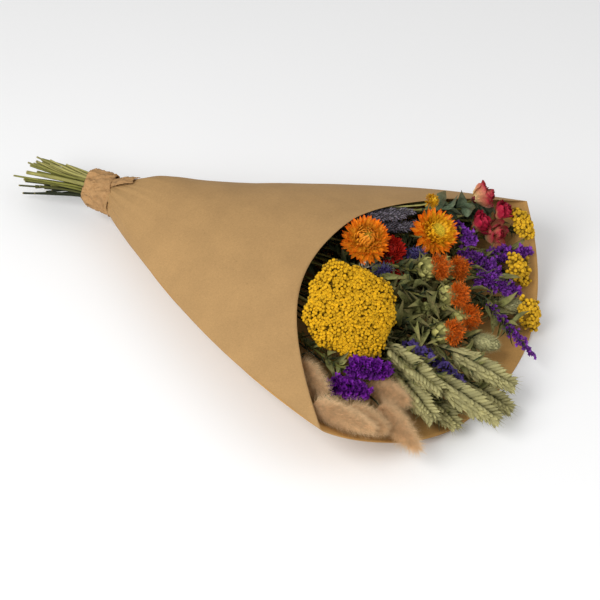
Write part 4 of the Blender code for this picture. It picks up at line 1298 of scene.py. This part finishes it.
def neck_strip_piece(paper):
    """A strip of kraft wound aslant round the neck and crumpled, with its loose folded end."""
    piece = merged_copy("neck_paper_band", "neck_strip")
    apply_modifier(piece, "SUBSURF", levels=3, render_levels=3, subdivision_type="SIMPLE")
    places, normals = mesh_arrays(piece.data)
    low, high = places.min(axis=0), places.max(axis=0)
    middle = (low + high) * 0.5
    away = (places - middle) * (0.0, 1.0, 1.0)
    outer = np.clip(np.sum(unit(away) * normals, axis=1), 0.0, 1.0)
    share = (places[:, 0] - low[0]) / (high[0] - low[0])
    places[:, 0] -= (0.10 + 0.26 * share) * places[:, 1]
    for k, (x, y, z) in enumerate(places):
        places[k] = over_sleeve(x, (y, z - middle[2]), middle[2], math.hypot(y, z - middle[2]),
                                (1.7 if outer[k] > 0.3 else 0.6) * MM)
    rough = crease(places, 13.0 * MM, 3) + 0.7 * crease(places, 6.0 * MM, 9)
    rough += 0.35 * crease(places, 3.0 * MM, 4)
    places = places + scale_rows(normals, rough * outer * 0.62 * paper.crumple)
    places[:, 0] += cloud(places, 17.0 * MM, 12) * 0.7 * MM
    put_back(piece, places, ("crumpled_paper",))
    fold = fold_piece(high[0], middle[2], paper)
    pick(piece)
    fold.select_set(True)
    bpy.ops.object.join()
    piece.data.shade_smooth()
    return piece


def tie_piece():
    """Three turns of a rubber band, side by side, where the frame holds the plain ring."""
    low, high = (np.array(corner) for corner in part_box("stem_tie"))
    thick = min(high[0] - low[0], 3.0 * MM) / 6.0
    radius = (high[2] - low[2]) * 0.5 - thick
    turns = []
    start_clean()
    for turn in (-1, 0, 1):
        bpy.ops.mesh.primitive_torus_add(
            major_segments=64, minor_segments=10, major_radius=radius - abs(turn) * 0.1 * MM,
            minor_radius=thick, location=(low + high) * 0.5 + (turn * thick * 1.9, 0.0, 0.0),
            rotation=(0.0, math.radians(90.0 + turn * 0.8), 0.0))
        turns.append(bpy.context.object)
    for made in turns:
        made.select_set(True)
    bpy.ops.object.join()
    piece = bpy.context.object
    piece.name = "tie_band"
    bpy.ops.object.transform_apply(location=True, rotation=True, scale=True)
    piece.data.materials.append(PAINTS["tie_band"])
    piece.data.shade_smooth()
    return piece


# ---- operators ----
def grow(plant, slot, build, into=0.1):
    """Grows one flower on its stem, which runs into its head, and hands it over."""
    shapes = [stem(plant, into)] + build(plant)
    hand_over(join_shapes(plant.node + "_flower", shapes), plant.node)


def grow_all(start, slot, build, into=0.1):
    """Grows every flower of one kind."""
    for node in names(start):
        grow(Plant(node), slot, build, into)


class BOUQUET_OT_sleeve(bpy.types.Operator):
    """Fold the kraft paper sleeve"""
    bl_idname = "bouquet.sleeve"
    bl_label = "Kraft sleeve"

    def execute(self, context):
        hand_over(sleeve_piece(context.scene.bouquet_paper), "kraft_wrapper")
        return {"FINISHED"}


class BOUQUET_OT_neck(bpy.types.Operator):
    """Wind the crumpled strip and the tie round the neck"""
    bl_idname = "bouquet.neck"
    bl_label = "Neck strip and tie"

    def execute(self, context):
        hand_over(neck_strip_piece(context.scene.bouquet_paper), "neck_paper_band")
        hand_over(tie_piece(), "stem_tie")
        return {"FINISHED"}


class BOUQUET_OT_yarrow(bpy.types.Operator):
    """Grow the large yarrow and the small tansy heads"""
    bl_idname = "bouquet.yarrow"
    bl_label = "Yarrow and tansy"

    def execute(self, context):
        spacing = context.scene.bouquet_flowers.yarrow_floret
        grow(Plant("yarrow_large", DOME_RINGS), "yarrow_gold", lambda plant: yarrow(plant, spacing), 0.2)
        grow_all("tansy", "tansy_yellow", tansy, 0.2)
        return {"FINISHED"}


class BOUQUET_OT_strawflowers(bpy.types.Operator):
    """Grow the orange, red and yellow strawflowers"""
    bl_idname = "bouquet.strawflowers"
    bl_label = "Strawflowers"

    def execute(self, context):
        for kind, outer, inner, disc, open_wide, small in (
                ("orange_left", "orange_bract", "inner_bract", "olive_disc", False, False),
                ("orange_right", "orange_bract", "gold_bract", "yellow_disc", True, False),
                ("red_left", "red_bract", "red_bract", "red_bract", False, True),
                ("red_right", "red_bract", "red_bract", "red_bract", False, True),
                ("yellow", "yellow_bract", "yellow_bract", "yellow_disc", False, True)):
            slot = "strawflower_" + kind.split("_")[0]
            grow(Plant("strawflower_" + kind), slot,
                 lambda plant: strawflower(plant, outer, inner, disc, open_wide, small), 0.2)
        return {"FINISHED"}


class BOUQUET_OT_roses(bpy.types.Operator):
    """Grow the dried roses and their leaves"""
    bl_idname = "bouquet.roses"
    bl_label = "Roses"

    def execute(self, context):
        for number, kind in enumerate(("dried", "red", "red", "dried"), 1):
            grow(Plant(f"rose_{number}"), "rose_crimson", lambda plant: rose(plant, kind + "_rose_petal"))
        grow_all("rose_leaves", "leaf_green", lambda plant: leafy_spray(
            plant, "leaf_blade", 13, (0.022, 0.016), (0.018, 0.013), "grey_green_leaf", (62.0, 12.0), 0.50))
        return {"FINISHED"}


class BOUQUET_OT_small_blooms(bpy.types.Operator):
    """Grow the lavender, larkspur, blue thistles and the cream bud"""
    bl_idname = "bouquet.small_blooms"
    bl_label = "Lavender, larkspur, thistles and bud"

    def execute(self, context):
        grow_all("lavender", "lavender_grey", lavender)
        grow_all("larkspur", "larkspur_indigo", larkspur)
        grow_all("blue_thistle", "thistle_blue", thistle)
        grow_all("white_bud", "bud_cream", cream_bud, 0.2)
        return {"FINISHED"}


class BOUQUET_OT_statice(bpy.types.Operator):
    """Grow the violet and magenta statice"""
    bl_idname = "bouquet.statice"
    bl_label = "Statice"

    def execute(self, context):
        for node in names("statice_violet"):
            heads = (150, 3.9 * MM, 0.50) if node.endswith("tip") else (190, 4.8 * MM, 0.66)
            grow(Plant(node), "statice_violet", lambda plant: (
                statice(plant, "statice_cup", *heads) + filler(plant, 44, "olive_leaf", 0.026, 0.085, 0.5)))
        grow_all("statice_magenta", "statice_magenta", lambda plant: (
            statice(plant, "magenta_cup", 230, 5.2 * MM, 0.74)
            + filler(plant, 16, "olive_leaf", 0.020, 0.06)))
        return {"FINISHED"}


class BOUQUET_OT_safflowers(bpy.types.Operator):
    """Grow the safflowers and their curled leaves"""
    bl_idname = "bouquet.safflowers"
    bl_label = "Safflowers"

    def execute(self, context):
        for number in range(1, 6):
            grow(Plant(f"safflower_{number}"), "safflower_orange", safflower)
        grow_all("safflower_leaves", "safflower_leaf", lambda plant: leafy_spray(
            plant, "curled_leaf", 34, (0.021, 0.012), (0.011, 0.007), "olive_leaf", (85.0, 15.0), 0.32))
        return {"FINISHED"}


class BOUQUET_OT_grasses(bpy.types.Operator):
    """Grow the wheat, canary grass and bunny tails"""
    bl_idname = "bouquet.grasses"
    bl_label = "Wheat and grasses"

    def execute(self, context):
        for node in names("wheat"):
            ear = Plant(node)
            turn = math.radians(ear.rng.uniform(-35.0, 35.0))
            grow(ear, "wheat_straw", lambda plant: wheat_ear(plant, turn))
        grow_all("phalaris", "phalaris_green", canary_grass)
        count = context.scene.bouquet_flowers.hair_count
        grow_all("bunny_tail", "bunny_tail_beige", lambda plant: bunny_tail(plant, count))
        return {"FINISHED"}


# Soft lights: place, share of the key light's power, and size.
LAMPS = {"key": ((-0.15, -1.20, 1.10), 1.0, 1.0), "fill": ((1.3, 0.2, 1.0), 0.22, 1.2)}
LIT_SPOT = Vector((0.05, 0.0, 0.04))
SKY_LIGHT = 0.56
# What the camera looks at: how far past the tie, over the floor and off the view's middle it is.
VIEW_PAST_TIE = 0.22
VIEW_HEIGHT = 0.05
VIEW_SHIFT = 0.0357


class BOUQUET_OT_stage(bpy.types.Operator):
    """Mix the paints and lay out the floor, the lights and the camera"""
    bl_idname = "bouquet.stage"
    bl_label = "Stage"

    def execute(self, context):
        scene, stage = context.scene, context.scene.bouquet_stage
        mix_paints(scene.bouquet_flowers, scene.bouquet_paper)
        start_clean()
        bpy.ops.mesh.primitive_plane_add(size=8.0, location=(0.0, 0.0, -0.4 * MM))
        floor = context.object
        floor.name = "floor"
        bpy.ops.object.transform_apply(location=True)
        nodes = Nodes("floor_paint")
        colour = nodes.ramp(nodes.noise(3.0, 2.0), (0.3, scaled(stage.floor_colour, 0.99)),
                            (0.7, tuple(stage.floor_colour)))
        floor.data.materials.append(nodes.finish(colour, roughness=0.9))

        scene.world = bpy.data.worlds.new("studio")
        scene.world.use_nodes = True
        sky = scene.world.node_tree.nodes["Background"]
        sky.inputs["Color"].default_value = (1.0, 1.0, 1.0, 1.0)
        sky.inputs["Strength"].default_value = SKY_LIGHT
        scene.view_settings.view_transform = "Standard"

        turn = Euler((-stage.camera_elevation, 0.0, stage.camera_azimuth)).to_matrix()
        back, up = turn @ Vector((0.0, -1.0, 0.0)), turn @ Vector((0.0, 0.0, 1.0))
        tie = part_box("stem_tie")
        target = Vector(((tie[0][0] + tie[1][0]) * 0.5 + VIEW_PAST_TIE, 0.0, VIEW_HEIGHT)) - up * VIEW_SHIFT
        view = bpy.data.cameras.new("view")
        view.lens = stage.camera_lens
        view.sensor_width = 36.0
        camera = bpy.data.objects.new("view", view)
        camera.location = target + back * stage.camera_distance
        camera.rotation_euler = back.to_track_quat("Z", "Y").to_euler()
        scene.collection.objects.link(camera)
        scene.camera = camera

        for name, (spot, share, size) in LAMPS.items():
            light = bpy.data.lights.new(name, "AREA")
            light.energy = stage.key_power * share
            light.size = size
            lamp = bpy.data.objects.new(name, light)
            lamp.location = spot
            lamp.rotation_euler = (Vector(spot) - LIT_SPOT).to_track_quat("Z", "Y").to_euler()
            scene.collection.objects.link(lamp)
        return {"FINISHED"}


STEPS = (BOUQUET_OT_stage, BOUQUET_OT_sleeve, BOUQUET_OT_neck, BOUQUET_OT_yarrow, BOUQUET_OT_strawflowers,
         BOUQUET_OT_roses, BOUQUET_OT_small_blooms, BOUQUET_OT_statice, BOUQUET_OT_safflowers,
         BOUQUET_OT_grasses)


class BOUQUET_PT_panel(bpy.types.Panel):
    """The bouquet's settings and steps"""
    bl_idname = "BOUQUET_PT_panel"
    bl_label = "Dried flower bouquet"
    bl_space_type = "VIEW_3D"
    bl_region_type = "UI"
    bl_category = "Bouquet"

    def draw(self, context):
        for label in SETTINGS:
            group = getattr(context.scene, label)
            box = self.layout.box()
            for value in group.__annotations__:
                box.prop(group, value)
        for step in STEPS:
            self.layout.operator(step.bl_idname)


SETTINGS = {"bouquet_paper": PaperSettings, "bouquet_flowers": FlowerSettings,
            "bouquet_stage": StageSettings}
CLASSES = (*SETTINGS.values(), *STEPS, BOUQUET_PT_panel)


def register():
    for kind in CLASSES:
        bpy.utils.register_class(kind)
    for label, kind in SETTINGS.items():
        setattr(bpy.types.Scene, label, bpy.props.PointerProperty(type=kind))


def unregister():
    for label in SETTINGS:
        delattr(bpy.types.Scene, label)
    for kind in reversed(CLASSES):
        bpy.utils.unregister_class(kind)


def main():
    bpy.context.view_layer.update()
    register()
    bpy.ops.bouquet.stage()
    bpy.ops.bouquet.sleeve()
    bpy.ops.bouquet.neck()
    bpy.ops.bouquet.yarrow()
    bpy.ops.bouquet.strawflowers()
    bpy.ops.bouquet.roses()
    bpy.ops.bouquet.small_blooms()
    bpy.ops.bouquet.statice()
    bpy.ops.bouquet.safflowers()
    bpy.ops.bouquet.grasses()


if __name__ == "__main__":
    main()
